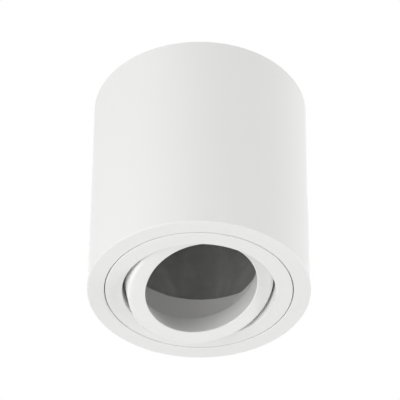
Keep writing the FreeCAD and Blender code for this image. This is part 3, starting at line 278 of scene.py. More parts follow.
def slotted_head(radius, low, floor, high, width):
    """A round screw head along Z with a slot along X in its upper face. The circle is cut at
    the slot's sides, where sin t = half the width / radius; the slot's floor and its two side
    walls close the shape between the two parts of the face."""
    cut = math.asin(width / 2 / radius)
    arc = np.linspace(cut, math.pi - cut, 25)
    gap = np.linspace(-cut, cut, 4)[1:-1]
    angle = np.concatenate([arc, gap + math.pi, arc + math.pi, gap])
    count, part = len(angle), len(arc)
    points = np.vstack([at_angles(radius, height, angle) for height in (low, floor, high)])
    ring = np.arange(count)
    ahead = (ring + 1) % count
    first, second = ring[:part], ring[part + 2:2 * part + 2]
    opened = np.concatenate([[first[-1]], ring[part:part + 2], second[[0, -1]], ring[-2:],
                             [first[0]]])
    faces = [ring[None, ::-1], opened[None] + count,
             np.stack([ring, ahead, ahead + count, ring + count], 1)]
    for side in (first, second):
        near, far = side[:-1] + count, side[1:] + count
        faces.append(np.stack([near, far, far + count, near + count], 1))
        faces.append(np.array([[side[-1], side[0], side[0] + count, side[-1] + count]]) + count)
        faces.append(side[None] + 2 * count)
    return Form(points, faces)


def swept(path, radius, side, turns=32):
    """A round bar along a path: point + radius (cos t * side + sin t * across). Side is the
    given direction made square to the path, and across is square to both."""
    path = np.asarray(path, float)
    ahead = np.gradient(path, axis=0)
    ahead /= np.linalg.norm(ahead, axis=1)[:, None]
    side = side - (ahead @ np.asarray(side, float))[:, None] * ahead
    side /= np.linalg.norm(side, axis=1)[:, None]
    across = np.cross(ahead, side)
    angle = around(turns)[:, None]
    spoke = np.cos(angle) * side[:, None] + np.sin(angle) * across[:, None]
    return capped(path[:, None] + radius * spoke)


def route_line(points):
    """Points along the smooth NURBS line that a route's points steer."""
    curve = bpy.data.curves.new("route", "CURVE")
    curve.dimensions = "3D"
    curve.resolution_u = 24
    spline = curve.splines.new("NURBS")
    spline.points.add(len(points) - 1)
    for point, place in zip(spline.points, points):
        point.co = (*place, 1.0)
    spline.order_u = 3
    spline.use_endpoint_u = True
    holder = bpy.data.objects.new("route", curve)
    mesh = bpy.data.meshes.new_from_object(holder)
    line = np.array([tuple(vertex.co) for vertex in mesh.vertices])
    bpy.data.objects.remove(holder)
    bpy.data.curves.remove(curve)
    bpy.data.meshes.remove(mesh)
    return line


def circle_points(x, y, radius, turns):
    """Points of a circle: (x + radius cos t, y + radius sin t)."""
    angle = around(turns)
    return np.stack([x + radius * np.cos(angle), y + radius * np.sin(angle)], 1)


def disc_with_holes(radius, holes, height):
    """A round plate's face at one height, as triangles between its outer circle and the
    circles of its holes."""
    loops = [circle_points(0.0, 0.0, radius, TURNS)] + [circle_points(*hole) for hole in holes]
    flat = [[Vector((x, y, 0.0)) for x, y in loop] for loop in loops]
    points = np.concatenate(loops)
    return Form(np.column_stack([points, np.full(len(points), height)]),
                [np.array(geometry.tessellate_polygon(flat))])


# ---------------------------------------------------------------- meshes

def finish_mesh(work, name, body, material, replaces, sharp):
    """Turn a bmesh into a piece with outward normals that rides on its body."""
    bmesh.ops.recalc_face_normals(work, faces=work.faces)
    if work.calc_volume(signed=True) < 0:
        bmesh.ops.reverse_faces(work, faces=work.faces)
    mesh = bpy.data.meshes.new(name)
    work.to_mesh(mesh)
    work.free()
    mesh.polygons.foreach_set("use_smooth", np.ones(len(mesh.polygons), bool))
    mesh.set_sharp_from_angle(angle=math.radians(sharp))
    mesh.materials.append(material)
    piece = bpy.data.objects.new(name, mesh)
    bpy.context.scene.collection.objects.link(piece)
    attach(piece, body)
    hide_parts(*replaces)
    return piece


def build(name, form, body, material, replaces, masks=None, sharp=28.0, bevel=0.0):
    """Put a computed shape into a closed mesh and merge the points that coincide. A bevel, in
    millimetres, rounds the edges that the shape itself leaves sharp."""
    mesh = bpy.data.meshes.new(name)
    mesh.from_pydata((form.points * MM).tolist(), [],
                     [face for part in form.faces for face in part.tolist()])
    for label, values in {"edge": form.edge, **(masks or {})}.items():
        layer = mesh.attributes.new(label, "FLOAT", "POINT")
        layer.data.foreach_set("value", np.asarray(values, np.float32))
    work = bmesh.new()
    work.from_mesh(mesh)
    bpy.data.meshes.remove(mesh)
    bmesh.ops.remove_doubles(work, verts=work.verts, dist=2e-6)
    if bevel:
        round_edges(work, bevel)
    return finish_mesh(work, name, body, material, replaces, sharp)


def round_edges(work, width, angle=35.0):
    """Cut back each edge that is sharper than the angle by a round of three steps, and mark
    the round in the edge mask."""
    mask = work.verts.layers.float.get("edge") or work.verts.layers.float.new("edge")
    limit = math.radians(angle)
    sharp = [edge for edge in work.edges
             if len(edge.link_faces) == 2 and edge.calc_face_angle() > limit]
    made = bmesh.ops.bevel(work, geom=sharp, offset=width * MM, offset_type="OFFSET",
                           segments=3, profile=0.5, affect="EDGES", clamp_overlap=True)
    for face in made["faces"]:
        for vertex in face.verts:
            vertex[mask] = 1.0


def softened(node, name, material, width, body="housing", sharp=32.0):
    """A solid's own shape with soft edges: its triangles are merged, flat neighbours are
    joined, and its sharp edges get a round of the given width in millimetres."""
    work = bmesh.new()
    work.from_mesh(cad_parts[node].data)
    bmesh.ops.remove_doubles(work, verts=work.verts, dist=2e-6)
    bmesh.ops.dissolve_limit(work, angle_limit=math.radians(0.6), verts=work.verts,
                             edges=work.edges)
    round_edges(work, width)
    piece = finish_mesh(work, name, body, material, [node], sharp)
    weigh = piece.modifiers.new("flat faces stay flat", "WEIGHTED_NORMAL")
    weigh.keep_sharp = True
    return piece


# ---------------------------------------------------------------- shader building blocks

class Graph:
    """Short names for adding and joining the nodes of a material or a group."""

    def __init__(self, tree):
        self.tree = tree

    def node(self, kind, **settings):
        made = self.tree.nodes.new(kind)
        for key, value in settings.items():
            setattr(made, key, value)
        return made

    def join(self, source, target):
        self.tree.links.new(source, target)

    def feed(self, target, value):
        if isinstance(value, bpy.types.NodeSocket):
            self.join(value, target)
        else:
            target.default_value = value

    def noise(self, vector, scale, detail=3.0, roughness=0.5, distortion=0.0):
        made = self.node("ShaderNodeTexNoise")
        self.feed(made.inputs["Vector"], vector)
        for key, value in (("Scale", scale), ("Detail", detail), ("Roughness", roughness),
                           ("Distortion", distortion)):
            self.feed(made.inputs[key], value)
        return made.outputs["Fac"]

    def math(self, operation, first, second=0.0, clamp=False):
        made = self.node("ShaderNodeMath", operation=operation, use_clamp=clamp)
        self.feed(made.inputs[0], first)
        self.feed(made.inputs[1], second)
        return made.outputs[0]

    def spread(self, value, low, high, new_low=0.0, new_high=1.0):
        """Stretch a value from low..high to new_low..new_high, held at both ends."""
        made = self.node("ShaderNodeMapRange")
        self.feed(made.inputs["Value"], value)
        for key, number in (("From Min", low), ("From Max", high), ("To Min", new_low),
                            ("To Max", new_high)):
            self.feed(made.inputs[key], number)
        return made.outputs["Result"]

    def mix(self, share, first, second):
        made = self.node("ShaderNodeMix", data_type="RGBA")
        self.feed(made.inputs["Factor"], share)
        self.feed(made.inputs["A"], first)
        self.feed(made.inputs["B"], second)
        return made.outputs["Result"]

    def scaled(self, colour, share):
        made = self.node("ShaderNodeVectorMath", operation="SCALE")
        self.feed(made.inputs[0], colour)
        self.feed(made.inputs["Scale"], share)
        return made.outputs["Vector"]

    def stretched(self, vector, factors):
        """A texture's place times one factor for each axis."""
        made = self.node("ShaderNodeVectorMath", operation="MULTIPLY")
        self.feed(made.inputs[0], vector)
        self.feed(made.inputs[1], factors)
        return made.outputs["Vector"]

    def bump(self, height, distance, strength=1.0):
        made = self.node("ShaderNodeBump")
        self.feed(made.inputs["Height"], height)
        self.feed(made.inputs["Distance"], distance)
        self.feed(made.inputs["Strength"], strength)
        return made.outputs["Normal"]

    def group(self, tree, **values):
        """A group node whose inputs are set by name, with _ for each space."""
        made = self.node("ShaderNodeGroup", node_tree=tree)
        for key, value in values.items():
            self.feed(made.inputs[key.replace("_", " ")], value)
        return made.outputs


def new_group(name, inputs, outputs):
    """An empty shader node group with named sockets; returns its graph and its two ends."""
    tree = bpy.data.node_groups.new(name, "ShaderNodeTree")
    for label, kind, value in inputs:
        socket = tree.interface.new_socket(name=label, in_out="INPUT", socket_type=kind)
        socket.default_value = value
    for label, kind in outputs:
        tree.interface.new_socket(name=label, in_out="OUTPUT", socket_type=kind)
    graph = Graph(tree)
    return graph, graph.node("NodeGroupInput").outputs, graph.node("NodeGroupOutput").inputs


NUMBER, ARROW = "NodeSocketFloat", "NodeSocketVector"


def make_surface_group():
    """Fine grain, broad unevenness and dust for any finish.

    height = fine noise * share + broad noise * (1 - share); tone = 1 +- the broad noise;
    dust = a soft noise kept above a threshold. The stretch draws the grain out along an
    axis, as rolling or drawing does."""
    graph, given, out = new_group(
        "surface grain",
        [("Fine Scale", NUMBER, 2500.0), ("Broad Scale", NUMBER, 120.0),
         ("Fine Share", NUMBER, 0.6), ("Tone", NUMBER, 0.03), ("Dust", NUMBER, 0.1),
         ("Stretch", ARROW, (1.0, 1.0, 1.0))],
        [("Height", NUMBER), ("Tone", NUMBER), ("Dust", NUMBER), ("Broad", NUMBER)])
    where = graph.node("ShaderNodeTexCoord").outputs["Object"]
    drawn = graph.stretched(where, given["Stretch"])
    fine = graph.noise(drawn, given["Fine Scale"], 2.0, 0.55)
    broad = graph.noise(drawn, given["Broad Scale"], 4.0, 0.5, 0.3)
    share = given["Fine Share"]
    height = graph.math("ADD", graph.math("MULTIPLY", fine, share),
                        graph.math("MULTIPLY", broad, graph.math("SUBTRACT", 1.0, share)))
    tone = graph.math("ADD", 1.0, graph.math("MULTIPLY", graph.math("SUBTRACT", broad, 0.5),
                                             given["Tone"]))
    specks = graph.noise(where, 900.0, 5.0, 0.7)
    dust = graph.math("MULTIPLY", graph.spread(specks, 0.55, 0.75), given["Dust"])
    for label, value in (("Height", height), ("Tone", tone), ("Dust", dust), ("Broad", broad)):
        graph.join(value, out[label])
    return graph.tree


def make_edge_group():
    """Wear along edges: the piece's edge mask times a broken-up noise, times an amount."""
    graph, given, out = new_group(
        "edge wear", [("Amount", NUMBER, 0.5), ("Break Up Scale", NUMBER, 700.0)],
        [("Mask", NUMBER)])
    where = graph.node("ShaderNodeTexCoord").outputs["Object"]
    edge = graph.node("ShaderNodeAttribute", attribute_name="edge").outputs["Fac"]
    broken = graph.spread(graph.noise(where, given["Break Up Scale"], 4.0, 0.65), 0.42, 0.62)
    worn = graph.math("MULTIPLY", edge, broken)
    graph.join(graph.math("MULTIPLY", worn, given["Amount"], True), out["Mask"])
    return graph.tree


SURFACE = make_surface_group()
EDGE = make_edge_group()
DUST_COLOUR = (0.62, 0.60, 0.57, 1.0)


def start_material(name):
    """An empty material: itself, its graph and its shader."""
    material = bpy.data.materials.new(name)
    material.use_nodes = True
    return material, Graph(material.node_tree), material.node_tree.nodes["Principled BSDF"]


def finish_material(name, colour, roughness, metallic=0.0, tint=None, stripe=None, fine=2500.0,
                    broad=120.0, share=0.6, tone=0.05, dust=0.1, stretch=(1.0, 1.0, 1.0),
                    bump=0.02, strength=0.5, wear=0.4, worn=None, coat=0.0, rough_spread=0.12):
    """A material of one finish. Its colour drifts towards a tint and its roughness varies with
    the shared grain, its relief is bump millimetres high, and its edges turn towards the worn
    colour. A stripe colour follows the piece's band mask."""
    material, graph, shader = start_material(name)
    grain = graph.group(SURFACE, Fine_Scale=fine, Broad_Scale=broad, Fine_Share=share,
                        Tone=tone, Dust=dust, Stretch=stretch)
    edge = graph.group(EDGE, Amount=wear)
    base = graph.mix(graph.spread(grain["Broad"], 0.35, 0.65), (*colour, 1.0),
                     (*(tint or colour), 1.0))
    if stripe:
        band = graph.node("ShaderNodeAttribute", attribute_name="band").outputs["Fac"]
        base = graph.mix(graph.spread(band, -0.02, 0.02), base, (*stripe, 1.0))
    worn = worn or tuple(min(1.0, c * 1.25) for c in colour)
    used = graph.mix(edge["Mask"], graph.scaled(base, grain["Tone"]), (*worn, 1.0))
    graph.join(graph.mix(grain["Dust"], used, DUST_COLOUR), shader.inputs["Base Color"])
    rough = graph.spread(grain["Height"], 0.25, 0.75, roughness - rough_spread / 2,
                         roughness + rough_spread / 2)
    graph.join(graph.math("ADD", rough, graph.math("MULTIPLY", grain["Dust"], 0.4), True),
               shader.inputs["Roughness"])
    shader.inputs["Metallic"].default_value = metallic
    shader.inputs["Coat Weight"].default_value = coat
    graph.join(graph.bump(grain["Height"], bump * MM, strength), shader.inputs["Normal"])
    return material


# the coat, and the bare die-cast metal where it is clean and where it is stained
WHITE_COAT = (0.835, 0.835, 0.825)
CAST_METAL = (0.82, 0.82, 0.81)
CAST_STAIN = (0.60, 0.60, 0.59)
CAST_METALLIC = 0.3


def make_can_material():
    """Powder coat outside and on the mouth rim, bare die-cast metal inside. The piece's paint
    mask says where the coat is, and a noise breaks up its edge where the spray thins out. The
    metal's stain is drawn out along the height, as the mould's pull leaves it."""
    material, graph, shader = start_material("powder_coat_over_cast_metal")
    where = graph.node("ShaderNodeTexCoord").outputs["Object"]
    paint = graph.node("ShaderNodeAttribute", attribute_name="paint").outputs["Fac"]
    speckle = graph.noise(where, 1500.0, 4.0, 0.7)
    coated = graph.spread(graph.math("ADD", paint, graph.math("MULTIPLY", speckle, 0.35)),
                          0.6, 0.8)
    coat = graph.group(SURFACE, Fine_Scale=2600.0, Broad_Scale=60.0, Fine_Share=0.55, Tone=0.02,
                       Dust=0.0)
    cast = graph.group(SURFACE, Fine_Scale=1700.0, Broad_Scale=150.0, Fine_Share=0.5, Tone=0.3,
                       Dust=0.12)
    drawn = graph.stretched(where, (1.0, 1.0, 0.35))
    stain = graph.spread(graph.noise(drawn, 90.0, 5.0, 0.6, 0.6), 0.35, 0.7)
    metal = graph.scaled(graph.mix(stain, (*CAST_METAL, 1.0), (*CAST_STAIN, 1.0)), cast["Tone"])
    white = graph.scaled(WHITE_COAT, coat["Tone"])
    graph.join(graph.mix(coated, metal, white), shader.inputs["Base Color"])
    bare_rough = graph.spread(cast["Height"], 0.25, 0.75, 0.5, 0.75)
    coat_rough = graph.spread(coat["Height"], 0.25, 0.75, 0.36, 0.48)
    graph.join(graph.spread(coated, 0.0, 1.0, bare_rough, coat_rough),
               shader.inputs["Roughness"])
    graph.join(graph.spread(coated, 0.0, 1.0, CAST_METALLIC, 0.0), shader.inputs["Metallic"])
    cast_relief = graph.math("MULTIPLY", cast["Height"], 5.0)
    relief = graph.spread(coated, 0.0, 1.0, cast_relief, coat["Height"])
    graph.join(graph.bump(relief, 0.014 * MM, 0.6), shader.inputs["Normal"])
    return material


CAN_FINISH = make_can_material()
WHITE_FINISH = finish_material(
    "white_powder_coat", WHITE_COAT, 0.42, fine=2600.0, broad=60.0, share=0.55, tone=0.02,
    dust=0.0, bump=0.014, strength=0.6, wear=0.15, worn=(0.80, 0.80, 0.79), rough_spread=0.1)
ROLLED_ZINC = finish_material(
    "zinc_plated_strip", (0.44, 0.45, 0.47), 0.38, 1.0, tint=(0.50, 0.48, 0.43), fine=2200.0,
    broad=260.0, tone=0.35, stretch=(0.06, 1.0, 1.0), bump=0.02, dust=0.1, wear=0.3)
PLATED_STEEL = finish_material(
    "bright_zinc_plate", (0.46, 0.47, 0.49), 0.34, 1.0, tint=(0.50, 0.48, 0.43), fine=1800.0,
    broad=320.0, tone=0.3, bump=0.008, dust=0.08, wear=0.3)
SPRING_STEEL = finish_material(
    "blued_spring_steel", (0.33, 0.34, 0.36), 0.3, 1.0, tint=(0.27, 0.29, 0.34), fine=3000.0,
    broad=300.0, tone=0.3, bump=0.004)
RUBBER = finish_material(
    "black_rubber", (0.018, 0.018, 0.019), 0.62, fine=1600.0, broad=240.0, tone=0.6, bump=0.03,
    dust=0.18, worn=(0.05, 0.05, 0.05))
GLAZED_CERAMIC = finish_material(
    "glazed_white_ceramic", (0.80, 0.79, 0.75), 0.16, tint=(0.78, 0.76, 0.70), fine=900.0,
    broad=180.0, tone=0.06, bump=0.012, strength=0.35, coat=0.6, wear=0.25,
    worn=(0.70, 0.66, 0.58))
PLAIN_CERAMIC = finish_material(
    "fired_steatite", (0.74, 0.71, 0.64), 0.55, tint=(0.70, 0.66, 0.58), fine=2200.0,
    broad=260.0, tone=0.12, bump=0.03, wear=0.3, worn=(0.80, 0.78, 0.73))
BRASS = finish_material(
    "turned_brass", (0.70, 0.52, 0.25), 0.28, 1.0, tint=(0.62, 0.44, 0.20), fine=2600.0,
    broad=240.0, tone=0.25, bump=0.006)
TINNED = finish_material(
    "tinned_copper", (0.58, 0.57, 0.54), 0.34, 1.0, tint=(0.55, 0.51, 0.45), fine=2400.0,
    broad=300.0, tone=0.3, bump=0.008)
NICKEL = finish_material(
    "nickel_plate", (0.60, 0.57, 0.51), 0.24, 1.0, fine=2800.0, broad=260.0, tone=0.2,
    bump=0.004)
NYLON = finish_material(
    "natural_nylon", (0.70, 0.69, 0.63), 0.48, fine=1900.0, broad=240.0, tone=0.08, bump=0.01)


def sleeve_material(name, colour, tone=0.2, stripe=None):
    """Matt silicone of a lead's sleeve."""
    return finish_material(name, colour, 0.5, stripe=stripe, fine=2600.0, broad=300.0,
                           tone=tone, bump=0.02)


BROWN_SLEEVE = sleeve_material("brown_lead_sleeve", (0.17, 0.065, 0.028))
BLUE_SLEEVE = sleeve_material("blue_lead_sleeve", (0.03, 0.11, 0.38))
EARTH_SLEEVE = sleeve_material("green_and_yellow_lead_sleeve", (0.05, 0.30, 0.07), 0.15,
                               stripe=(0.72, 0.60, 0.04))


# ---------------------------------------------------------------- can, trim and tilting ring

# holes of the roof: x, y, radius and points round the hole
ROOF_HOLES = [
    (0.0, CABLE_Y, 6.0, 96), (EARTH_X, EARTH_Y, 1.95, 48),
    (STUD_X, 0.0, 2.25, 48), (-STUD_X, 0.0, 2.25, 48),
    (BLOCK_SCREW_X, BLOCK_Y, 1.45, 40), (-BLOCK_SCREW_X, BLOCK_Y, 1.45, 40),
]


def make_can():
    """The can: a turned wall, and a roof with its holes between the recess and the inside.
    The wall's heights are counted from the bottom edge, and its profile goes from the roof's
    upper face over the outside to the roof's lower face."""
    roof_top, roof_under = CAN_HEIGHT + ROOF_TOP, CAN_HEIGHT + ROOF_UNDER
    top_plate, under_plate = RECESS_RADIUS - 1.0, INSIDE_RADIUS - 4.0
    slope_end = 13.0
    wall = [(top_plate, roof_top), (RECESS_RADIUS, roof_top, 0.3),
            (RECESS_RADIUS, CAN_HEIGHT, 0.4), (CAN_RADIUS, CAN_HEIGHT, 0.4),
            (CAN_RADIUS, 0.0, 0.3), (MOUTH_RADIUS, 0.0, 0.4),
            (MOUTH_RADIUS, MOUTH_DEPTH, 0.1), (COLLAR_RADIUS, MOUTH_DEPTH, 0.15),
            (COLLAR_RADIUS, COLLAR_TOP, 0.3), (INSIDE_RADIUS, slope_end, 0.5),
            (INSIDE_RADIUS, roof_under, 3.0), (under_plate, roof_under)]
    profile, mask = rounded_profile(wall, closed=False)
    profile[:, 1] += BOTTOM
    rows = revolved(profile, TURNS)
    forms = [Form(rows, [grid_faces(len(rows), TURNS, False, True)], np.repeat(mask, TURNS)),
             disc_with_holes(top_plate, ROOF_HOLES, ROOF_TOP),
             disc_with_holes(under_plate, ROOF_HOLES, ROOF_UNDER)]
    for x, y, radius, count in ROOF_HOLES:
        loop = circle_points(x, y, radius, count)
        bore = np.stack([np.column_stack([loop, np.full(count, z)])
                         for z in (ROOF_TOP, ROOF_UNDER)])
        forms.append(Form(bore, [grid_faces(2, count, False, True)], np.full(2 * count, 0.5)))
    form = joined(forms)
    x, y, z = form.points.T
    coat_radius, radius_fade = 38.2, 0.6
    coat_height, height_fade = 3.6, 1.2
    outside = np.clip((np.hypot(x, y) - coat_radius) / radius_fade, 0, 1)
    mouth = np.clip((coat_height - (z - BOTTOM)) / height_fade, 0, 1)
    build("can_shell", form, "housing", CAN_FINISH, ["housing_can"],
          {"paint": np.maximum(outside, mouth)})


def make_trim_ring():
    """The trim ring: face flange, groove for the spring ring, and skirt."""
    hole, outer, flange_top = 27.5, 33.55, 3.0
    groove, groove_top = 28.9, 9.4
    skirt, skirt_top = 29.6, 17.6
    form = turned([
        (hole, 0.0, 0.15), (outer, 0.0, 0.4), (outer, flange_top, 0.15),
        (groove, flange_top, 0.2), (groove, groove_top, 0.2), (skirt, groove_top, 0.1),
        (skirt, skirt_top, 0.5), (hole, skirt_top, 0.2)])
    build("trim_flange_and_skirt", form.placed(TRIM_PLACE), "trim", WHITE_FINISH,
          ["trim_ring"])


def block(low, high):
    """A plain block between two corners, as a grid of its four sides with closed ends."""
    (x0, y0, z0), (x1, y1, z1) = low, high
    ring = [(x0, y0), (x1, y0), (x1, y1), (x0, y1)]
    return capped(np.array([[(x, y, z) for x, y in ring] for z in (z0, z1)]))


def both_sides(form):
    """A shape and its copy half a turn round Z."""
    return joined([form, form.placed(Matrix.Rotation(math.pi, 4, "Z"))])


def make_tilt_ring():
    """The tilting ring: a straight outer wall, its flat front, the conical neck to the lamp's
    seat, a cored groove between them and a boss across the groove for each pivot pin. Over
    each pin the rear edge rises by a lug: its height times a smooth step s^2 (3 - 2 s), where
    s falls from 1 to 0 between 14 and 18 degrees from the line of the pins."""
    front, rear, outer, rear_outer = -5.25, 8.2, 26.484, 25.725
    opening, neck, seat, lamp_wall = 20.25, 22.0, 4.55, 25.2
    clip_groove, clip_low, clip_high = 25.5, 6.45, 7.55
    core, core_floor = 23.3, -3.25
    form = turned([
        (opening, front, 0.4), (outer, front, 1.5), (outer, -front, 0.3),
        (rear_outer, rear, 0.15), (lamp_wall, rear, 0.2), (lamp_wall, clip_high, 0.05),
        (clip_groove, clip_high, 0.05), (clip_groove, clip_low, 0.05),
        (lamp_wall, clip_low, 0.05), (lamp_wall, core_floor, 0.6), (core, core_floor, 0.6),
        (core, seat, 0.3), (neck, seat, 0.3)])
    lug_height, lug_end, lug_slope, rear_edge = 3.2, 18.0, 4.0, 7.9
    x, y, z = form.points.T
    off_pins = np.degrees(np.arctan2(np.abs(y), np.abs(x)))
    share = np.clip((lug_end - off_pins) / lug_slope, 0, 1)
    form.points[:, 2] += np.where(z > rear_edge, lug_height * share**2 * (3 - 2 * share), 0.0)
    boss_half = 3.2
    bosses = both_sides(block((22.7, -boss_half, -4.25), (25.8, boss_half, 3.0)))
    build("aiming_ring", joined([form, bosses]).placed(RING_PLACE), "tilt",
          WHITE_FINISH, ["tilt_ring"])


# lays a shape that was turned along Z along X
ALONG_X = Matrix.Rotation(math.pi / 2, 4, "Y")


def make_pivots():
    """Pivot pins pressed into the skirt, and the friction washers round them between the
    skirt and the tilting ring. Both are turned along Z and laid along the pins' line."""
    pin, inner, outer = 1.5, 23.7, 28.8
    form = turned([(0, inner), (pin, inner, 0.2), (pin, outer, 0.2), (0, outer)], 48)
    pins = both_sides(form.placed(ALONG_X).moved(z=PIVOT_HEIGHT))
    build("pivot_pin_pair", pins.placed(TRIM_PLACE), "trim", PLATED_STEEL,
          ["pivot_pins"])
    bore, rim, inner, outer = 1.55, 3.5, 26.25, 27.2
    form = turned([(bore, inner, 0.1), (rim, inner, 0.15), (rim, outer, 0.15),
                   (bore, outer, 0.1)], 72)
    washers = both_sides(form.placed(ALONG_X))
    build("friction_washer_pair", washers.placed(RING_PLACE), "tilt", NYLON,
          ["friction_washers"])


def make_lamp_clip():
    """The wire that holds a lamp: most of a circle, an inward bend at both ends, where a point
    is centre + bend (out cos t + across sin t), and a short straight ear."""
    radius, wire, bend, ear, groove_height = 24.95, 0.45, 1.2, 1.4, 7.0
    half = math.radians(12.0)
    turn = np.linspace(0, math.pi / 2, 10)[:, None]
    ends = []
    for side in (1, -1):
        out = np.array([math.cos(half), side * math.sin(half), 0.0])
        across = np.array([math.sin(half), -side * math.cos(half), 0.0])
        arc = out * (radius - bend) + bend * (out * np.cos(turn) + across * np.sin(turn))
        tip = arc[-1] - out * ear * np.array([[0.4], [1.0]])
        ends.append(np.vstack([arc, tip]))
    sweep = np.linspace(half, 2 * math.pi - half, 220)[1:-1]
    hoop = np.stack([radius * np.cos(sweep), radius * np.sin(sweep), 0 * sweep], 1)
    path = np.vstack([ends[0][::-1], hoop, ends[1]])
    place = (RING_PLACE @ Matrix.Translation((0.0, 0.0, groove_height))
             @ Matrix.Rotation(math.radians(-90.0) - TURN, 4, "Z"))
    build("lamp_wire_clip", swept(path, wire, (0, 0, 1), 20).placed(place), "tilt",
          SPRING_STEEL, ["lamp_clip"])


# ---------------------------------------------------------------- fixing, inlet and terminals

LOCK_WASHER = 0.8    # thickness over the teeth


def make_fixing():
    """Bracket, studs with flush heads, tooth lock washers and hexagon nuts."""
    softened("mounting_bracket", "ceiling_bracket", ROLLED_ZINC, 0.15)
    radius, under = 3.6, -0.8
    head = turned([(0, under), (radius, under, 0.1), (radius, 0.0, 0.15), (0, 0.0)], 72)
    stud = joined([head, thread(radius=1.95, low=-18.0, high=-0.7)]).moved(x=STUD_X)
    build("threaded_studs", both_sides(stud), "housing", PLATED_STEEL,
          ["mounting_studs"])
    washer_low, nut_low = ROOF_UNDER - LOCK_WASHER, ROOF_UNDER - 4.0
    washer = toothed_washer(outer=4.5, bore=2.25, low=washer_low, high=ROOF_UNDER)
    washer = washer.moved(x=STUD_X)
    build("stud_lock_washers", both_sides(washer), "housing", PLATED_STEEL,
          ["stud_washers"])
    nut = hex_nut(across=7.0, bore=2.0, low=nut_low, high=washer_low).moved(x=STUD_X)
    build("hexagon_nuts", both_sides(nut), "housing", PLATED_STEEL, ["stud_nuts"])


def make_grommet():
    """The rubber grommet: two soft lips round the roof and a bore that opens at both ends."""
    low, high = ROOF_UNDER - 1.5, ROOF_TOP + 1.5
    bore, waist, lip, lip_edge = 4.0, 5.95, 8.0, 7.7
    form = turned([
        (bore, low, 0.6), (lip_edge, low, 0.7), (lip, ROOF_UNDER, 0.3),
        (waist, ROOF_UNDER, 0.1), (waist, ROOF_TOP, 0.1), (lip, ROOF_TOP, 0.3),
        (lip_edge, high, 0.7), (bore, high, 0.6)], 120)
    build("inlet_grommet", form.moved(y=CABLE_Y), "housing", RUBBER,
          ["cable_grommet"])


# turns a screw head so that its slot looks down
FACE_DOWN = Matrix.Rotation(math.pi, 4, "X")


def make_terminals():
    """The ceramic block, its brass tubes, the slotted clamping screws in their wells and the
    two screws that hold it to the roof."""
    softened("terminal_block", "ceramic_terminal_block", GLAZED_CERAMIC, 0.2)
    softened("terminal_tubes", "brass_clamping_tubes", BRASS, 0.1)
    radius, tip, length, slot = 1.4, POLE_Z - 0.7, 4.4, 0.6
    pitch, depth, turns = 0.5, 0.2, 32
    head = slotted_head(radius, low=-0.9, floor=-slot, high=0.0, width=slot)
    shank = thread(radius, tip - length + 0.85, tip, pitch, depth, turns)
    screw = joined([head.placed(FACE_DOWN).moved(z=tip - length), shank])
    screw_y = 3.6
    places = [(x, BLOCK_Y + screw_y * side) for x in POLES for side in (-1, 1)]
    build("clamping_screws", joined([screw.moved(x, y) for x, y in places]), "housing",
          PLATED_STEEL, ["terminal_screws"], bevel=0.06)
    low, end = BLOCK_LOW + 1.0, ROOF_TOP + 0.5
    head = slotted_head(radius=2.6, low=-2.0, floor=-0.9, high=0.0, width=0.7)
    shank = thread(radius, low + 1.9, end, pitch, depth, turns)
    screw = joined([head.placed(FACE_DOWN).moved(z=low), shank])
    screws = [screw.moved(BLOCK_SCREW_X * side, BLOCK_Y) for side in (-1, 1)]
    build("block_fixing_screws", joined(screws), "housing", PLATED_STEEL,
          ["terminal_block_screws"], bevel=0.12)


def make_earth_point():
    """Lock washer, crimped tag and cross-recessed screw of the earth connection."""
    washer = toothed_washer(outer=4.0, bore=2.2, low=ROOF_UNDER - LOCK_WASHER,
                            high=ROOF_UNDER, teeth=10)
    build("earth_lock_washer", washer.moved(EARTH_X, EARTH_Y), "housing",
          PLATED_STEEL, ["earth_washer"])
    softened("earth_tag", "crimped_earth_tag", TINNED, 0.12)
    softened("earth_screw", "pan_head_earth_screw", PLATED_STEEL, 0.12)


# ---------------------------------------------------------------- lampholder and leads

def make_lampholder():
    """Body and cover of fired ceramic, domed rivets and the contact strips."""
    softened("lampholder_body", "lampholder_base", PLAIN_CERAMIC, 0.3)
    softened("lampholder_cover", "lampholder_cap", PLAIN_CERAMIC, 0.25)
    softened("lampholder_contacts", "contact_strips", NICKEL, 0.1)
    crown, head, shank, dome, depth = 1.0, 2.1, 1.1, 0.45, 0.8
    low, high = HOLDER_FACE, HOLDER_TOP
    rivet = turned([
        (0, low), (crown, low, 0.8), (head, low + dome, 0.1), (head, low + depth, 0.1),
        (shank, low + depth, 0.1), (shank, high - depth, 0.1), (head, high - depth, 0.1),
        (head, high - dome, 0.1), (crown, high, 0.8), (0, high)], 48)
    build("lampholder_rivet_pair", both_sides(rivet.moved(y=RIVET_Y)), "housing",
          NICKEL, ["lampholder_rivets"])


def conductor(x, low_y, high_y):
    """A stripped conductor along Y: seven strands, whose outline is core + strand
    |cos(3.5 (t + twist * y))| and so turns as it goes."""
    core, strand, twist = 0.6, 0.1, 0.5
    along = np.linspace(low_y, high_y, 24)[:, None]
    angle = around(56)
    radius = core + strand * np.abs(np.cos(3.5 * (angle + along * twist)))
    return capped(np.stack([x + radius * np.cos(angle), along + 0 * angle,
                            POLE_Z + radius * np.sin(angle)], 2))


def make_lead(node, name, material, points, side):
    """A lead's sleeve along its smooth line, with the angle round it as a mask for a stripe."""
    line = route_line(points)
    rows, turns = len(line), 32
    sleeve = swept(line, LEAD_RADIUS, side, turns)
    twist = np.linspace(0, 1.2, rows)[:, None]
    band = np.append(np.ravel(np.cos(2 * (around(turns) + twist))), [0, 0])
    build(name, sleeve, "housing", material, [node], {"band": band}, sharp=60.0)


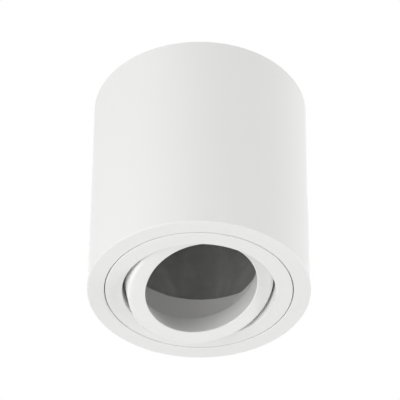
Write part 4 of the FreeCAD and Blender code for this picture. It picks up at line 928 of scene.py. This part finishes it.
def make_leads():
    """Live and neutral go down behind the block and arch over to the lampholder; earth goes
    round the block to its tag."""
    start_y, turn_y, foot_y, foot_z = -26.0, -34.6, -34.2, -30.5
    arch_z, entry_z, end_z = -20.9, -31.0, -35.5
    for pole, foot_x, entry_x, kind, material in (
            (POLES[0], -8.0, -LEAD_X, "live", BROWN_SLEEVE),
            (POLES[1], 0.6, LEAD_X, "neutral", BLUE_SLEEVE)):
        make_lead(f"{kind}_lead", f"{kind}_lead_sleeve", material, [
            (pole, start_y, POLE_Z), (pole, turn_y, POLE_Z), (foot_x, foot_y, foot_z),
            (entry_x, 0.0, arch_z), (entry_x, 0.0, entry_z), (entry_x, 0.0, end_z)], (1, 0, 0))
    barrel_z = ROOF_UNDER - 1.9
    make_lead("earth_lead", "earth_lead_sleeve", EARTH_SLEEVE, [
        (POLES[2], start_y, POLE_Z), (POLES[2], -33.0, POLE_Z), (18.4, -30.0, -13.5),
        (EARTH_X, EARTH_Y - 12.7, barrel_z), (EARTH_X, EARTH_Y - 5.2, barrel_z)], (0, 0, 1))
    bare = joined([conductor(x, start_y - 0.3, start_y + 4.5) for x in POLES])
    build("stripped_conductors", bare, "housing", TINNED, [], sharp=50.0)


# ---------------------------------------------------------------- camera, lights and floor

def make_camera():
    """The photograph's view: 39.6 degrees below the level, looking up along +Y. The distance
    and the two shifts are metres from the middle of the can's bottom edge."""
    elevation, roll = math.radians(39.555), 0.0063
    distance, shift_across, shift_above = 0.8833, 0.000380, 0.032874
    forward = Vector((0.0, math.cos(elevation), math.sin(elevation)))
    up = Vector((0.0, -math.sin(elevation), math.cos(elevation)))
    right = Vector((1.0, 0.0, 0.0))
    across = right * math.cos(roll) + up * math.sin(roll)
    above = up * math.cos(roll) - right * math.sin(roll)
    camera_data = bpy.data.cameras.new("camera")
    camera_data.sensor_width = 36.0
    camera_data.lens = 222.6
    camera_data.clip_start, camera_data.clip_end = 0.01, 50.0
    camera = bpy.data.objects.new("camera", camera_data)
    bpy.context.scene.collection.objects.link(camera)
    turned_view = Matrix((across, above, -forward)).transposed().to_4x4()
    place = (Vector((0.0, 0.0, BOTTOM * MM)) + across * shift_across + above * shift_above
             - forward * distance)
    camera.matrix_world = Matrix.Translation(place) @ turned_view
    bpy.context.scene.camera = camera


# the height that every lamp looks at, in metres
AIM_HEIGHT = -0.045
# lamp, azimuth and elevation in degrees, power in watts
LAMPS = [
    ("left_side", -175.0, -20.0, 1.7), ("left_key", -145.0, -20.0, 4.3),
    ("left_low", -145.0, -55.0, 2.8), ("left_front", -115.0, -20.0, 1.1),
    ("high_front", -55.0, 20.0, 2.6), ("right_fill", 15.0, -20.0, 6.6),
    ("rear_soft", 90.0, 25.0, 3.0),
]


def make_light(name, azimuth, elevation, power, distance=1.2, size=0.8):
    """A soft square lamp that looks at the can from a direction, in degrees."""
    a, e = math.radians(azimuth), math.radians(elevation)
    away = Vector((math.cos(e) * math.cos(a), math.cos(e) * math.sin(a), math.sin(e)))
    data = bpy.data.lights.new(name, "AREA")
    data.shape, data.size, data.energy = "SQUARE", size, power
    lamp = bpy.data.objects.new(name, data)
    bpy.context.scene.collection.objects.link(lamp)
    lamp.rotation_mode = "QUATERNION"
    lamp.rotation_quaternion = away.to_track_quat("Z", "Y")
    lamp.location = Vector((0.0, 0.0, AIM_HEIGHT)) + away * distance
    lamp.visible_camera = False


# even light from all round, and what the floor adds for the camera alone
AMBIENT = 0.487
FLOOR_SEEN = 0.2


def make_surroundings():
    """A white background for the camera and for reflections, an even ambient light, and a
    plain pale floor far below, which the camera sees as paler than that light makes it."""
    world = bpy.data.worlds.new("studio")
    bpy.context.scene.world = world
    world.use_nodes = True
    graph = Graph(world.node_tree)
    background = world.node_tree.nodes["Background"]
    path = graph.node("ShaderNodeLightPath")
    seen = graph.math("MAXIMUM", path.outputs["Is Camera Ray"],
                      graph.math("MAXIMUM", path.outputs["Is Glossy Ray"],
                                 path.outputs["Is Transmission Ray"]))
    graph.join(graph.mix(seen, (AMBIENT, AMBIENT, AMBIENT * 1.01, 1.0), (1.0, 1.0, 1.0, 1.0)),
               background.inputs["Color"])
    half, level = 12.0, -1.3
    corners = [(x * half, y * half, level) for x, y in ((-1, -1), (1, -1), (1, 1), (-1, 1))]
    mesh = bpy.data.meshes.new("floor")
    mesh.from_pydata(corners, [], [(0, 1, 2, 3)])
    floor = bpy.data.objects.new("floor", mesh)
    bpy.context.scene.collection.objects.link(floor)
    material, graph, shader = start_material("pale_floor")
    shader.inputs["Base Color"].default_value = (0.88, 0.88, 0.875, 1.0)
    shader.inputs["Roughness"].default_value = 0.8
    path = graph.node("ShaderNodeLightPath")
    glow = graph.scaled((FLOOR_SEEN, FLOOR_SEEN, FLOOR_SEEN), path.outputs["Is Camera Ray"])
    graph.join(glow, shader.inputs["Emission Color"])
    shader.inputs["Emission Strength"].default_value = 1.0
    mesh.materials.append(material)


def main():
    bpy.context.scene.view_settings.view_transform = "Standard"
    make_can()
    make_trim_ring()
    make_tilt_ring()
    make_pivots()
    make_lamp_clip()
    softened("grip_ring", "leaf_spring_ring", SPRING_STEEL, 0.08, "grip")
    make_fixing()
    make_grommet()
    make_terminals()
    make_earth_point()
    make_lampholder()
    make_leads()
    make_camera()
    for name, azimuth, elevation, power in LAMPS:
        make_light(name, azimuth, elevation, power)
    make_surroundings()


main()
